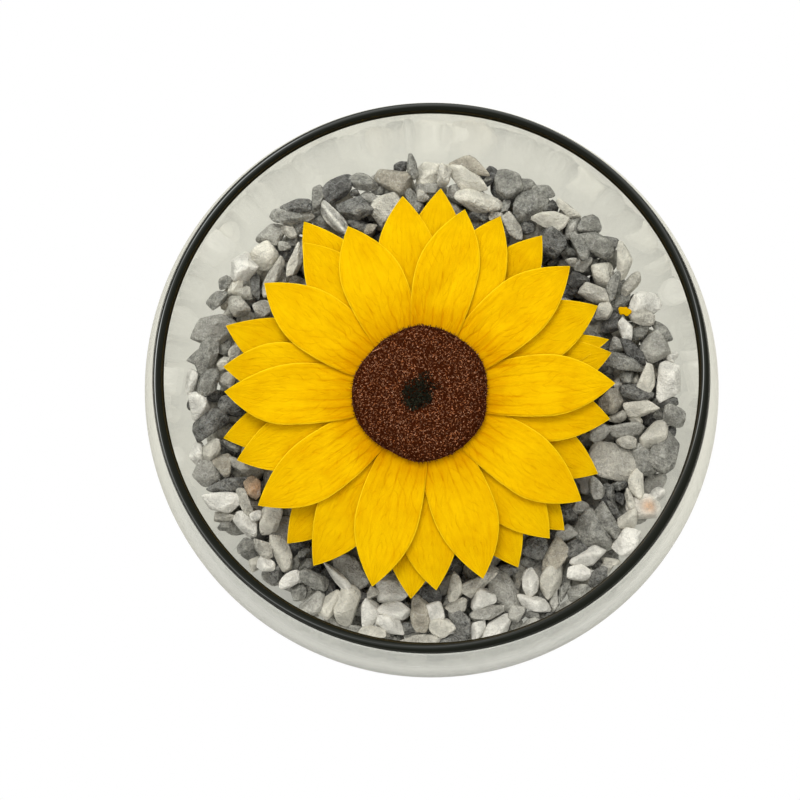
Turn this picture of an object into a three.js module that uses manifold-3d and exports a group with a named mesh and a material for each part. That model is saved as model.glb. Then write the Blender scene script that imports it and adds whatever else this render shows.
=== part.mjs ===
// A sunflower head on a bed of marble chippings in a low bubble bowl of clear glass.
// Millimetres, +Z up. The origin is on the bowl's axis, on the surface that the bowl stands on.
// The view from straight above has +X to the right and +Y to the top.

import * as THREE from 'three';
import { mergeVertices } from 'three/addons/utils/BufferGeometryUtils.js';
import Module from 'manifold-3d';

// ---- Driving dimensions ----

// The bowl: a sphere cut off by the table below and by the mouth above.
const BOWL_RADIUS = 90;
const BOWL_HEIGHT = 108;
const BELLY_HEIGHT = 72;
const WALL = 3;
const BASE_THICKNESS = 4;
const RIM_BEAD_RADIUS = 1.65;
const RIM_BEAD_AT = 81.75;
const FOOT_OUTER_RADIUS = 48;
const PUSH_UP_RADIUS = 37;
const PUSH_UP_HEIGHT = 1.4;
const HEEL_HEIGHT = 6;
const INNER_FLOOR_RADIUS = 46;
const INNER_HEEL_HEIGHT = 9;
const BOWL_SIDES = 56;

// The bed of chippings, drawn larger than life.
const CLEARANCE = 0.4;
const FACET_ALLOWANCE = 0.4;
const BED_HEIGHT = 47.3;
const HIGHEST_CHIPPING = 50;
const CHIPPING_LENGTH = 18;
const CORE_INSET = 4.6;
const CORE_HEIGHT = 43;
const CORE_SIDES = 20;
const TOP_CHIPPINGS = 100;
const FLOOR_CHIPPINGS = 24;
const SIDE_COURSE_HEIGHTS = [14, 26.5, 39];
const SIDE_SPACING = 16.5;
const BED_SEED = 7;

// The flower head.
const FLOWER_X = -3.6;
const FLOWER_Y = 0.6;
const BLADE = 0.8;
const COLLAR_INNER_RADIUS = 8;
const COLLAR_OUTER_RADIUS = 19;
const COLLAR_THICKNESS = 1;
const PETAL_ROOT_RADIUS = 15;
const PETAL_WIDTH = 20.4;
const DISC_RADIUS = 21.6;
const DISC_UNDERSIDE = 61.2;
const DISC_TOP = 66.4;
const DISC_FLORETS_ROUND = 44;
const FLORET_RELIEF = 0.7;
const CENTRE_RADIUS = 4.5;
const CENTRE_SEAT = 65;
const RECEPTACLE_RADIUS = 15;
const RECEPTACLE_TOP = 55.9;
const RECEPTACLE_UNDERSIDE = 51.3;
const STEM_RADIUS = 3.6;
const STEM_FOOT = 22;
const STEM_SIDES = 12;
const BRACT_LENGTH = 21;
const BRACT_WIDTH = 8.5;
const BRACT_ROW_HEIGHTS = [54.6, 53.3];
const BRACTS_IN_ROW = 9;

// Each petal: bearing in degrees from +X, reach of its tip from the flower's axis,
// and how far the tip swings sideways from the line of its root.
const INNER_PETALS = [
  [113, 60.4, 1.6],
  [76.5, 62.6, -3],
  [41, 64.4, 0],
  [3, 62.9, -1.6],
  [-34, 62.1, -1.2],
  [-71.5, 62.7, -5],
  [-104, 63.8, 2.6],
  [-145.5, 63.4, -3.6],
  [179, 63.5, -2.6],
  [144.5, 63.1, -2.6],
];
const MIDDLE_PETALS = [
  [95, 66.3, 0],
  [66, 64.6, 1],
  [27, 64.7, -1],
  [-7.5, 61.6, 1],
  [-48, 62.5, -1],
  [-85.5, 63.2, 0],
  [-122, 65, 1],
  [-160.5, 63, -1],
  [171.5, 64.9, 1],
  [127, 63.5, -1],
];
const OUTER_PETALS = [
  [84, 69.2, 0],
  [53, 66.3, 1],
  [18, 63.8, -1],
  [9, 63.2, 1],
  [-24.5, 62.6, 0],
  [-43.5, 63.6, 1],
  [-61, 64, -1],
  [-92.5, 65.7, 0],
  [-132, 64.4, 1],
  [-168, 65.5, -1],
  [160, 67.4, 0],
  [123.5, 69.5, 1],
];

// Each row of petals: the height of its collar, how high its petals arch, how far their tips
// drop, how deep they are cupped, and how many strips a petal has across.
const INNER_ROW = { collar: 59.6, arch: 1.4, drop: 0.6, cup: 0.9, strips: 4 };
const MIDDLE_ROW = { collar: 58, arch: 0.7, drop: 1.2, cup: 0.5, strips: 2 };
const OUTER_ROW = { collar: 56.4, arch: 0.2, drop: 2.2, cup: 0.4, strips: 2 };

// ---- Tools ----

const FULL_TURN = 2 * Math.PI;
const GOLDEN_ANGLE = Math.PI * (3 - Math.sqrt(5));

const wasm = await Module();
wasm.setup();

const radians = THREE.MathUtils.degToRad;

// A repeatable stream of numbers from 0 to 1, by a linear congruential rule.
function seededRandom(seed) {
  const [multiplier, increment, modulus] = [1664525, 1013904223, 2 ** 32];
  let state = seed;
  return () => {
    state = (state * multiplier + increment) % modulus;
    return state / modulus;
  };
}

// Merges the shared corners of a closed geometry, so that only its positions are left.
function welded(geometry) {
  geometry.deleteAttribute('normal');
  geometry.deleteAttribute('uv');
  return mergeVertices(geometry, 1e-4);
}

function solidFrom(geometry) {
  const closed = welded(geometry);
  return new wasm.Manifold(new wasm.Mesh({
    numProp: 3,
    vertProperties: new Float32Array(closed.attributes.position.array),
    triVerts: new Uint32Array(closed.index.array),
  }));
}

function geometryFrom(solid) {
  const mesh = solid.getMesh();
  const geometry = new THREE.BufferGeometry();
  geometry.setAttribute('position', new THREE.BufferAttribute(mesh.vertProperties, 3));
  geometry.setIndex(new THREE.BufferAttribute(mesh.triVerts, 1));
  geometry.computeVertexNormals();
  return geometry;
}

function fused(solids) {
  return solids.reduce((sum, solid) => sum.add(solid));
}

// The outer skin of a solid alone: hollows that joining has sealed are filled, and scraps dropped.
function filled(solid) {
  return solid.decompose().reduce((a, b) => (a.volume() > b.volume() ? a : b));
}

// Turns a profile of [radius, height] points round the Z axis.
function turned(profile, sides) {
  const points = profile.map(([radius, height]) => new THREE.Vector2(radius, height));
  return new THREE.LatheGeometry(points, sides).rotateX(Math.PI / 2);
}

// Points along an arc in the profile's plane, both ends included. Angles are in degrees.
function arc(centreRadius, centreHeight, radius, from, to, steps) {
  return Array.from({ length: steps + 1 }, (_, i) => {
    const angle = radians(from + (to - from) * i / steps);
    return [centreRadius + radius * Math.cos(angle), centreHeight + radius * Math.sin(angle)];
  });
}

// Points along a quadratic curve, both ends included.
function bend(start, control, end, steps) {
  return Array.from({ length: steps + 1 }, (_, i) => {
    const t = i / steps;
    const weigh = (axis) => (1 - t) ** 2 * start[axis] + 2 * t * (1 - t) * control[axis]
      + t ** 2 * end[axis];
    return [weigh(0), weigh(1)];
  });
}

// ---- Glass bowl ----

// The angle, seen from the middle of the sphere, of a level on a sphere of this radius.
function levelAngle(height, sphereRadius) {
  return THREE.MathUtils.radToDeg(Math.asin((height - BELLY_HEIGHT) / sphereRadius));
}

// A heel that runs from the flat at [radius, height] into the sphere at heelHeight.
function heel(radius, height, sphereRadius, heelHeight, steps) {
  const drop = BELLY_HEIGHT - heelHeight;
  const end = [Math.sqrt(sphereRadius ** 2 - drop ** 2), heelHeight];
  const control = [end[0] - (heelHeight - height) * drop / end[0], height];
  return bend([radius, height], control, end, steps);
}

function bowlGeometry() {
  const innerRadius = BOWL_RADIUS - WALL;
  const beadHeight = BOWL_HEIGHT - RIM_BEAD_RADIUS;
  const outerEnd = levelAngle(beadHeight - RIM_BEAD_RADIUS, BOWL_RADIUS);
  const innerEnd = levelAngle(beadHeight - RIM_BEAD_RADIUS, innerRadius);
  const underside = [
    [0, PUSH_UP_HEIGHT],
    [PUSH_UP_RADIUS * 0.7, PUSH_UP_HEIGHT * 0.7],
    [PUSH_UP_RADIUS, 0],
  ];
  const outside = [
    ...heel(FOOT_OUTER_RADIUS, 0, BOWL_RADIUS, HEEL_HEIGHT, 2),
    ...arc(0, BELLY_HEIGHT, BOWL_RADIUS, levelAngle(HEEL_HEIGHT, BOWL_RADIUS), 0, 5).slice(1),
    ...arc(0, BELLY_HEIGHT, BOWL_RADIUS, 0, outerEnd, 2).slice(1),
  ];
  const bead = arc(RIM_BEAD_AT, beadHeight, RIM_BEAD_RADIUS, -18, 198, 6);
  const inside = [
    ...arc(0, BELLY_HEIGHT, innerRadius, innerEnd, levelAngle(INNER_HEEL_HEIGHT, innerRadius), 7),
    ...heel(INNER_FLOOR_RADIUS, BASE_THICKNESS, innerRadius, INNER_HEEL_HEIGHT, 2)
      .reverse().slice(1),
    [0, BASE_THICKNESS],
  ];
  return turned([...underside, ...outside, ...bead, ...inside], BOWL_SIDES);
}

// ---- Bed of chippings ----

const BED_SPHERE_RADIUS = BOWL_RADIUS - WALL - CLEARANCE - FACET_ALLOWANCE;
const BED_FLOOR = BASE_THICKNESS + CLEARANCE;

// The lowest that a chipping may lie at this distance from the axis. It rises over the bowl's heel.
function floorHeight(radius) {
  const heelStart = INNER_FLOOR_RADIUS - 2;
  const heelWidth = 16;
  const rise = INNER_HEEL_HEIGHT - BASE_THICKNESS;
  return BED_FLOOR + rise * THREE.MathUtils.clamp((radius - heelStart) / heelWidth, 0, 1) ** 2;
}

// The radius of the room inside the glass at this height.
function roomRadius(height) {
  return Math.sqrt(BED_SPHERE_RADIUS ** 2 - (BELLY_HEIGHT - height) ** 2);
}

// One angular chip with eight uneven corners and its broad faces near level.
function chippingGeometry(length, random) {
  const mostTilt = 0.45;
  const chip = welded(new THREE.BoxGeometry(length, 0.86 * length, 0.66 * length));
  const corners = chip.attributes.position;
  const share = () => 0.42 + 0.58 * random();
  for (let i = 0; i < corners.count; i += 1) {
    const [x, y, z] = [corners.getX(i) * share(), corners.getY(i) * share(), corners.getZ(i)];
    corners.setXYZ(i, x, y, z * (0.4 + 0.6 * share()));
  }
  chip.rotateX((2 * random() - 1) * mostTilt);
  chip.rotateY((2 * random() - 1) * mostTilt);
  return chip.rotateZ(random() * FULL_TURN);
}

// Slides a chip until none of its corners is in the glass or stands out of the bed.
function settled(chip) {
  const corners = chip.attributes.position;
  const middle = new THREE.Vector3(0, 0, BELLY_HEIGHT);
  for (let round = 0; round < 12; round += 1) {
    const outermost = new THREE.Vector3();
    let lift = Math.min(HIGHEST_CHIPPING - highestCorner(chip), 0);
    for (let i = 0; i < corners.count; i += 1) {
      const corner = new THREE.Vector3().fromBufferAttribute(corners, i);
      lift = Math.max(lift, floorHeight(Math.hypot(corner.x, corner.y)) - corner.z);
      corner.sub(middle);
      if (corner.length() > outermost.length()) outermost.copy(corner);
    }
    const excess = Math.max(outermost.length() - BED_SPHERE_RADIUS, 0);
    const slide = outermost.setLength(-excess);
    chip.translate(slide.x, slide.y, slide.z + lift);
  }
  return chip;
}

function highestCorner(chip) {
  chip.computeBoundingBox();
  return chip.boundingBox.max.z;
}

function anySize(random) {
  return CHIPPING_LENGTH * (0.85 + 0.3 * random());
}

// Chips spread evenly over the top, each with its highest corner near the level of the bed.
function topChippings(random) {
  return Array.from({ length: TOP_CHIPPINGS }, (_, i) => {
    const radius = roomRadius(BED_HEIGHT) * Math.sqrt((i + 0.5) / TOP_CHIPPINGS);
    const angle = i * GOLDEN_ANGLE + 0.05 * random();
    const chip = chippingGeometry(anySize(random), random);
    const crest = BED_HEIGHT + (HIGHEST_CHIPPING - BED_HEIGHT) * (2 * random() - 1);
    const rise = crest - highestCorner(chip);
    return settled(chip.translate(radius * Math.cos(angle), radius * Math.sin(angle), rise));
  });
}

// Courses of chips pressed against the bowl's wall.
function sideChippings(random) {
  return SIDE_COURSE_HEIGHTS.flatMap((height, course) => {
    const count = Math.round(FULL_TURN * roomRadius(height) / SIDE_SPACING);
    return Array.from({ length: count }, (_, i) => {
      const angle = FULL_TURN * (i + 0.5 * course + 0.3 * random()) / count;
      const level = height + (random() - 0.5) * 3;
      const radius = roomRadius(level);
      const chip = chippingGeometry(anySize(random), random);
      return settled(chip.translate(radius * Math.cos(angle), radius * Math.sin(angle), level));
    });
  });
}

// Chips lying on the bowl's floor.
function floorChippings(random) {
  return Array.from({ length: FLOOR_CHIPPINGS }, (_, i) => {
    const radius = INNER_FLOOR_RADIUS * Math.sqrt((i + 0.5) / FLOOR_CHIPPINGS);
    const angle = i * GOLDEN_ANGLE;
    const chip = chippingGeometry(anySize(random), random);
    return settled(chip.translate(radius * Math.cos(angle), radius * Math.sin(angle), BED_FLOOR));
  });
}

// The close-packed inside of the bed, which the outer chips stand out of.
function coreGeometry() {
  const radius = BED_SPHERE_RADIUS - CORE_INSET;
  const low = BED_FLOOR + 0.7 * CORE_INSET;
  const floorRadius = INNER_FLOOR_RADIUS - 1;
  const start = levelAngle(low + CORE_INSET, radius);
  const end = levelAngle(CORE_HEIGHT, radius);
  return turned([
    [0, low],
    [floorRadius, low],
    ...arc(0, BELLY_HEIGHT, radius, start, end, 3),
    [0, CORE_HEIGHT],
  ], CORE_SIDES);
}

// The plain hole that the stem stands in.
function stemHole() {
  const radius = STEM_RADIUS + CLEARANCE;
  const foot = STEM_FOOT - CLEARANCE;
  const height = BOWL_HEIGHT - foot;
  const hole = new THREE.CylinderGeometry(radius, radius, height, STEM_SIDES);
  hole.rotateX(Math.PI / 2);
  return hole.translate(FLOWER_X, FLOWER_Y, foot + height / 2);
}

function bedGeometry() {
  const random = seededRandom(BED_SEED);
  const chips = [...floorChippings(random), ...sideChippings(random), ...topChippings(random)];
  const heap = fused([coreGeometry(), ...chips].map(solidFrom));
  return geometryFrom(filled(heap.subtract(solidFrom(stemHole()))));
}

// ---- Flower ----

// A thin closed blade. point(along, across) gives its upper face, for along from 0 at the root to
// 1 at the tip and across from -1 to 1. The lower face is the same, one thickness lower, and both
// are split into the same triangles.
function bladeGeometry(stations, strips, point) {
  const upper = [];
  stations.forEach((along) => {
    for (let i = 0; i <= strips; i += 1) upper.push(point(along, 2 * i / strips - 1));
  });
  upper.push(point(1, 0));
  const lower = upper.map((corner) => new THREE.Vector3(corner.x, corner.y, corner.z - BLADE));
  const below = upper.length;
  const tip = below - 1;
  const width = strips + 1;
  const lastRow = (stations.length - 1) * width;
  const faces = [];
  const facePair = (a, b, c) => faces.push(a, b, c, below + a, below + c, below + b);
  const edge = (a, b) => faces.push(a, below + a, b, b, below + a, below + b);
  for (let row = 0; row < lastRow; row += width) {
    for (let i = row; i < row + strips; i += 1) {
      facePair(i, i + width, i + 1);
      facePair(i + 1, i + width, i + width + 1);
    }
    edge(row, row + width);
    edge(row + width + strips, row + strips);
  }
  for (let i = 0; i < strips; i += 1) {
    facePair(lastRow + i, tip, lastRow + i + 1);
    edge(i + 1, i);
  }
  edge(lastRow, tip);
  edge(tip, lastRow + strips);
  const geometry = new THREE.BufferGeometry();
  geometry.setFromPoints([...upper, ...lower]);
  geometry.setIndex(faces);
  return geometry;
}

// Half the width of a petal or bract: narrow at the root, full at the waist, pointed at the tip.
function halfWidth(along, width, rootShare, waist) {
  const away = along < waist ? 1 - along / waist : (along - waist) / (1 - waist);
  return width / 2 * (1 - (along < waist ? 1 - rootShare : 1) * away ** 2);
}

const PETAL_STATIONS = [0, 0.25, 0.5, 0.7, 0.87];

function petalGeometry([bearing, reach, swing], row, unevenness) {
  const length = reach - PETAL_ROOT_RADIUS;
  const top = row.collar + COLLAR_THICKNESS - 0.1;
  const blade = bladeGeometry(PETAL_STATIONS, row.strips, (along, across) => {
    const side = across * halfWidth(along, PETAL_WIDTH, 0.45, 0.52);
    const swell = Math.sin(Math.PI * along) ** 2;
    const rise = row.arch * swell - row.drop * along ** 2;
    const lip = row.cup * across ** 2 * swell;
    return new THREE.Vector3(
      PETAL_ROOT_RADIUS + length * along,
      side + swing * (along ** 2 - along),
      top + rise + lip + unevenness * along ** 2 * (1 + across),
    );
  });
  return blade.rotateZ(radians(bearing)).translate(FLOWER_X, FLOWER_Y, 0);
}

// The ring that the roots of one row of petals grow together into, under the disc.
function collarGeometry(height) {
  const top = height + COLLAR_THICKNESS;
  const ring = turned([
    [COLLAR_INNER_RADIUS, height],
    [COLLAR_OUTER_RADIUS, height],
    [COLLAR_OUTER_RADIUS, top],
    [COLLAR_INNER_RADIUS, top],
    [COLLAR_INNER_RADIUS, height],
  ], 30);
  return ring.translate(FLOWER_X, FLOWER_Y, 0);
}

function petalRowGeometry(petals, row) {
  const blades = petals.map((petal, i) => petalGeometry(petal, row, i % 2 ? 0.22 : -0.1));
  return geometryFrom(fused([collarGeometry(row.collar), ...blades].map(solidFrom)));
}

// A round cushion whose face is raised into rows of small knobs that run in spirals. profile
// lists its rings from the edge of the underside to the middle as [radius, height, relief].
function knobbedGeometry(profile, sides) {
  const twist = 0.35 * FULL_TURN / sides;
  const underside = profile[0][1];
  const corners = [new THREE.Vector3(0, 0, underside)];
  profile.forEach(([radius, height, relief], ring) => {
    for (let i = 0; i < sides; i += 1) {
      const angle = FULL_TURN * i / sides + ring * twist;
      const lift = (i + ring) % 2 ? relief : 0;
      corners.push(new THREE.Vector3(
        radius * Math.cos(angle), radius * Math.sin(angle), height + lift,
      ));
    }
  });
  corners.push(new THREE.Vector3(0, 0, profile[profile.length - 1][1]));
  const faces = [];
  const lastRing = 1 + (profile.length - 1) * sides;
  for (let i = 0; i < sides; i += 1) {
    const next = (i + 1) % sides;
    faces.push(0, 1 + next, 1 + i);
    for (let low = 1; low < lastRing; low += sides) {
      const high = low + sides;
      faces.push(low + i, low + next, high + i, high + i, low + next, high + next);
    }
    faces.push(lastRing + i, lastRing + next, corners.length - 1);
  }
  const geometry = new THREE.BufferGeometry();
  geometry.setFromPoints(corners);
  geometry.setIndex(faces);
  return geometry.translate(FLOWER_X, FLOWER_Y, 0);
}

// The brown cushion: a low dome with a flat-floored dimple in the middle for the dark centre.
function discGeometry() {
  const dimpleRadius = CENTRE_RADIUS + CLEARANCE;
  const rows = 9;
  const dome = Array.from({ length: rows }, (_, i) => {
    const radius = DISC_RADIUS - 0.6 - (DISC_RADIUS - 2.2 - dimpleRadius) * i / (rows - 1);
    const fall = ((radius - 11) / 11) ** 2 * (radius > 11 ? 3 : 1);
    return [radius, DISC_TOP - fall, FLORET_RELIEF * Math.min(radius / 14, 1)];
  });
  return knobbedGeometry([
    [DISC_RADIUS - 2.6, DISC_UNDERSIDE, 0],
    [DISC_RADIUS, DISC_UNDERSIDE + 1.4, 0],
    ...dome,
    [dimpleRadius + 0.3, CENTRE_SEAT + 0.5, 0],
    [dimpleRadius, CENTRE_SEAT - CLEARANCE, 0],
  ], DISC_FLORETS_ROUND);
}

// The green-black knot of unopened florets.
function centreGeometry() {
  return knobbedGeometry([
    [CENTRE_RADIUS - 0.4, CENTRE_SEAT, 0],
    [CENTRE_RADIUS, CENTRE_SEAT + 0.6, 0],
    [CENTRE_RADIUS * 0.8, CENTRE_SEAT + 1.1, 0.5],
    [CENTRE_RADIUS * 0.5, CENTRE_SEAT + 1.4, 0.5],
    [CENTRE_RADIUS * 0.2, CENTRE_SEAT + 1.5, 0.3],
  ], 16);
}

// A pointed green bract that spreads under the petals.
function bractGeometry(bearing, height) {
  const blade = bladeGeometry([0, 0.35, 0.7], 2, (along, across) => new THREE.Vector3(
    RECEPTACLE_RADIUS - 4 + BRACT_LENGTH * along,
    across * halfWidth(along, BRACT_WIDTH, 0.7, 0.35),
    height - 0.6 * along ** 2 + 0.3 * across ** 2 * (1 - along),
  ));
  return blade.rotateZ(radians(bearing));
}

// The receptacle, its two rows of bracts and the short cut stem, which grow as one.
function flowerBackGeometry() {
  const body = turned([
    [0, STEM_FOOT],
    [STEM_RADIUS, STEM_FOOT],
    [STEM_RADIUS, RECEPTACLE_UNDERSIDE - 1],
    [STEM_RADIUS + 3, RECEPTACLE_UNDERSIDE],
    [RECEPTACLE_RADIUS - 2, RECEPTACLE_UNDERSIDE + 1.6],
    [RECEPTACLE_RADIUS, RECEPTACLE_TOP - 1.5],
    [RECEPTACLE_RADIUS - 0.8, RECEPTACLE_TOP],
    [0, RECEPTACLE_TOP],
  ], 20);
  const bracts = BRACT_ROW_HEIGHTS.flatMap((height, row) => (
    Array.from({ length: BRACTS_IN_ROW }, (_, i) => (
      bractGeometry(360 * (i + 0.5 * row) / BRACTS_IN_ROW, height)
    ))
  ));
  const back = fused([body, ...bracts].map(solidFrom));
  return geometryFrom(back).translate(FLOWER_X, FLOWER_Y, 0);
}

// ---- Assembly ----

const glass = new THREE.MeshStandardMaterial({
  color: 0xeef3f2, roughness: 0.03, metalness: 0, transparent: true, opacity: 0.35,
});
const marble = new THREE.MeshStandardMaterial({ color: 0xa9a9a4, roughness: 0.75, metalness: 0 });
const innerYellow = new THREE.MeshStandardMaterial({ color: 0xfccc0a, roughness: 0.6, metalness: 0 });
const middleYellow = new THREE.MeshStandardMaterial({ color: 0xf2be08, roughness: 0.6, metalness: 0 });
const outerYellow = new THREE.MeshStandardMaterial({ color: 0xe8b206, roughness: 0.6, metalness: 0 });
const brown = new THREE.MeshStandardMaterial({ color: 0x57301c, roughness: 0.95, metalness: 0 });
const greenBlack = new THREE.MeshStandardMaterial({ color: 0x1c1f14, roughness: 0.95, metalness: 0 });
const green = new THREE.MeshStandardMaterial({ color: 0x5d7434, roughness: 0.8, metalness: 0 });

function piece(name, geometry, material) {
  const mesh = new THREE.Mesh(geometry, material);
  mesh.name = name;
  return mesh;
}

const flower = new THREE.Group();
flower.add(
  piece('flower_back', flowerBackGeometry(), green),
  piece('outer_petals', petalRowGeometry(OUTER_PETALS, OUTER_ROW), outerYellow),
  piece('middle_petals', petalRowGeometry(MIDDLE_PETALS, MIDDLE_ROW), middleYellow),
  piece('inner_petals', petalRowGeometry(INNER_PETALS, INNER_ROW), innerYellow),
  piece('disc_florets', discGeometry(), brown),
  piece('disc_centre', centreGeometry(), greenBlack),
);

const arrangement = new THREE.Group();
arrangement.add(
  piece('vase', bowlGeometry(), glass),
  piece('gravel', bedGeometry(), marble),
  flower,
);

export default arrangement;
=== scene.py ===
# A sunflower head on marble chippings in a low glass bowl, seen from above.
# Lengths are in millimetres until a mesh is made. The bowl stands at the origin, +Z is up,
# +X is to the right of the picture and +Y to its top.

import bmesh
import bpy
import numpy as np
from mathutils import Matrix


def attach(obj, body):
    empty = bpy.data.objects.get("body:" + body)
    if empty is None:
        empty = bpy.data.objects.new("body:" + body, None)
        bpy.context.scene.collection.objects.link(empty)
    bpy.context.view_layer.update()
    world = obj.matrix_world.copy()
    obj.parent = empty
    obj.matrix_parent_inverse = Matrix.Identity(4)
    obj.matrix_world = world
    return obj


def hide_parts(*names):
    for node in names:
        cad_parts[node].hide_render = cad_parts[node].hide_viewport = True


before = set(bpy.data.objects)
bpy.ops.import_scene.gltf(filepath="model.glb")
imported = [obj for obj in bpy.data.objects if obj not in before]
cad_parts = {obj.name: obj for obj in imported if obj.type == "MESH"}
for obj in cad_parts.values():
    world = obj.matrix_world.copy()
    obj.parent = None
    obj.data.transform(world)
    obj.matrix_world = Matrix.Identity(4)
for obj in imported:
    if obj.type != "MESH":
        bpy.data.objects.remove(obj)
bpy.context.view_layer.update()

# ---- Camera, light and floor ----
# A long lens looks down on the bowl, a little from the front. The light is a white tent with
# one broad soft lamp at the top of the picture, and the floor is white card.

MM = 0.001
FULL_TURN = 2 * np.pi
CAMERA_TARGET = np.array([-8.70, -7.87, 108.0])
CAMERA_RIGHT = np.array([0.9995, 0.0, -0.0305])
CAMERA_UP = np.array([0.0042, 0.9908, 0.1363])
CAMERA_BACK = np.array([0.0302, -0.1364, 0.9902])
CAMERA_DISTANCE = 600.0
LENS_LENGTH = 90.4
SENSOR_WIDTH = 36.0
TENT_LOW_LIGHT = 0.58
TENT_TOP_LIGHT = 1.08
LAMP_SIZE = 0.7
LAMP_POWER = 9.0
LAMP_AT = (-0.25, 0.85, 1.15)
FLOOR_HALF = 1500.0
FLOOR_LEVEL = -0.1


class Wire:
    """An output of a material's nodes. Sums and products of it add Math nodes."""

    def __init__(self, tree, socket):
        self.tree = tree
        self.socket = socket

    def node(self, kind, settings, sockets, output=0):
        """Adds any node: its settings are set first, then its sockets get values or links."""
        made = self.tree.nodes.new("ShaderNode" + kind)
        for name, value in settings.items():
            setattr(made, name, value)
        for name, value in sockets.items():
            if isinstance(value, Wire):
                self.tree.links.new(value.socket, made.inputs[name])
            else:
                made.inputs[name].default_value = value
        return Wire(self.tree, made.outputs[output])

    def maths(self, operation, first, second=0.0):
        """Adds a Math node on two Wires or numbers."""
        return self.node("Math", {"operation": operation}, {0: first, 1: second})

    def __add__(self, other):
        return self.maths("ADD", self, other)

    def __sub__(self, other):
        return self.maths("SUBTRACT", self, other)

    def __mul__(self, other):
        return self.maths("MULTIPLY", self, other)

    def __truediv__(self, other):
        return self.maths("DIVIDE", self, other)

    def __pow__(self, other):
        return self.maths("POWER", self, other)

    def __rsub__(self, other):
        return self.maths("SUBTRACT", other, self)

    __radd__ = __add__

    def size(self):
        """This value without its sign."""
        return self.maths("ABSOLUTE", self)

    def step(self, low, high):
        """0 below low and 1 above high, smooth between. low may be the larger."""
        return self.node(
            "MapRange",
            {"interpolation_type": "SMOOTHSTEP"},
            {"Value": self, "From Min": low, "From Max": high},
        )

    def lines(self, half, soft):
        """1 on thin lines at every half-way point between whole numbers, fading to 0 beside."""
        return (self.maths("FRACT", self) - 0.5).size().step(half + soft, half)

    def colour(self, low, high):
        """A colour that goes from low to high as this value goes from 0 to 1."""
        return self.node(
            "Mix",
            {"data_type": "RGBA", "clamp_factor": True},
            {0: self, 6: opaque(low), 7: opaque(high)},
            output=2,
        )

    def times(self, other):
        """This colour or position times another, channel by channel."""
        return self.node("VectorMath", {"operation": "MULTIPLY"}, {0: self, 1: other})

    def part(self, axis):
        """The X, Y or Z of this position."""
        return self.node("SeparateXYZ", {}, {0: self}, output=axis)

    def noise(self, scale, detail=2.0, roughness=0.5):
        """Noise from 0 to 1 at this position, with scale cells in each unit."""
        sockets = {"Vector": self, "Scale": scale, "Detail": detail, "Roughness": roughness}
        return self.node("TexNoise", {}, sockets)


def opaque(colour):
    """A colour's three numbers with a fourth, 1, for opaque. A Wire stays as it is."""
    return (*colour, 1.0) if isinstance(colour, tuple) else colour


class Finish:
    """A material with one Principled shader. Fixed values are set on the shader's sockets."""

    def __init__(self, name, **fixed):
        self.material = bpy.data.materials.new(name)
        self.material.use_nodes = True
        self.tree = self.material.node_tree
        self.shader = self.tree.nodes["Principled BSDF"]
        for socket, value in fixed.items():
            self.shader.inputs[socket.replace("_", " ")].default_value = value
        start = self.tree.nodes.new("ShaderNodeTexCoord")
        self.place = Wire(self.tree, start.outputs["Object"])

    def attribute(self, name, output="Fac"):
        """A value or colour stored on the mesh under this name."""
        return self.place.node("Attribute", {"attribute_name": name}, {}, output=output)

    def drive(self, socket, wire):
        """Links a Wire to one of the shader's sockets."""
        self.tree.links.new(wire.socket, self.shader.inputs[socket])

    def bump(self, height, distance, strength=1.0):
        """Raises the surface by height times distance, in metres."""
        sockets = {"Height": height, "Distance": distance, "Strength": strength}
        self.drive("Normal", self.place.node("Bump", {}, sockets))

    def swap(self, rays, kind, sockets):
        """Shows another shader to one kind of ray, named as the Light Path node names it."""
        chosen = self.place.node("LightPath", {}, {}, output=rays)
        other = self.place.node(kind, {}, sockets)
        own = Wire(self.tree, self.shader.outputs[0])
        mixed = self.place.node("MixShader", {}, {0: chosen, 1: own, 2: other})
        self.tree.links.new(mixed.socket, self.tree.nodes["Material Output"].inputs["Surface"])


def placed(name, data):
    """A new object in the scene that holds this mesh, camera or lamp."""
    made = bpy.data.objects.new(name, data)
    bpy.context.collection.objects.link(made)
    return made


def new_object(name, points, triangles, materials, smooth=True):
    """A mesh object from points in millimetres and an array of triangles of their numbers."""
    mesh = bpy.data.meshes.new(name)
    mesh.vertices.add(len(points))
    mesh.vertices.foreach_set("co", np.ravel(points * MM))
    mesh.loops.add(triangles.size)
    mesh.loops.foreach_set("vertex_index", np.ravel(triangles))
    mesh.polygons.add(len(triangles))
    mesh.polygons.foreach_set("loop_start", np.arange(0, triangles.size, 3))
    mesh.polygons.foreach_set("use_smooth", np.full(len(triangles), smooth))
    for finish in materials:
        mesh.materials.append(finish.material)
    mesh.update(calc_edges=True)
    mesh.validate()
    return placed(name, mesh)


def new_piece(name, points, triangles, materials, node, slot, smooth=True):
    """A mesh object that takes the place of a CAD node."""
    made = new_object(name, points, triangles, materials, smooth)
    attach(made, "root")
    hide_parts(node)
    return made


def store(piece, name, values):
    """Keeps one number, or one colour, for each point of a piece."""
    kind, key = ("FLOAT", "value") if values.ndim == 1 else ("FLOAT_COLOR", "color")
    layer = piece.data.attributes.new(name, kind, "POINT")
    layer.data.foreach_set(key, np.ravel(values).astype(np.float32))


camera_data = bpy.data.cameras.new("camera")
camera_data.lens = LENS_LENGTH
camera_data.sensor_width = SENSOR_WIDTH
camera = placed("camera", camera_data)
camera_eye = CAMERA_TARGET + CAMERA_BACK * CAMERA_DISTANCE
axes = np.eye(4)
axes[:3] = np.stack([CAMERA_RIGHT, CAMERA_UP, CAMERA_BACK, camera_eye * MM], 1)
camera.matrix_world = Matrix(axes.tolist())
bpy.context.scene.camera = camera

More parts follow.
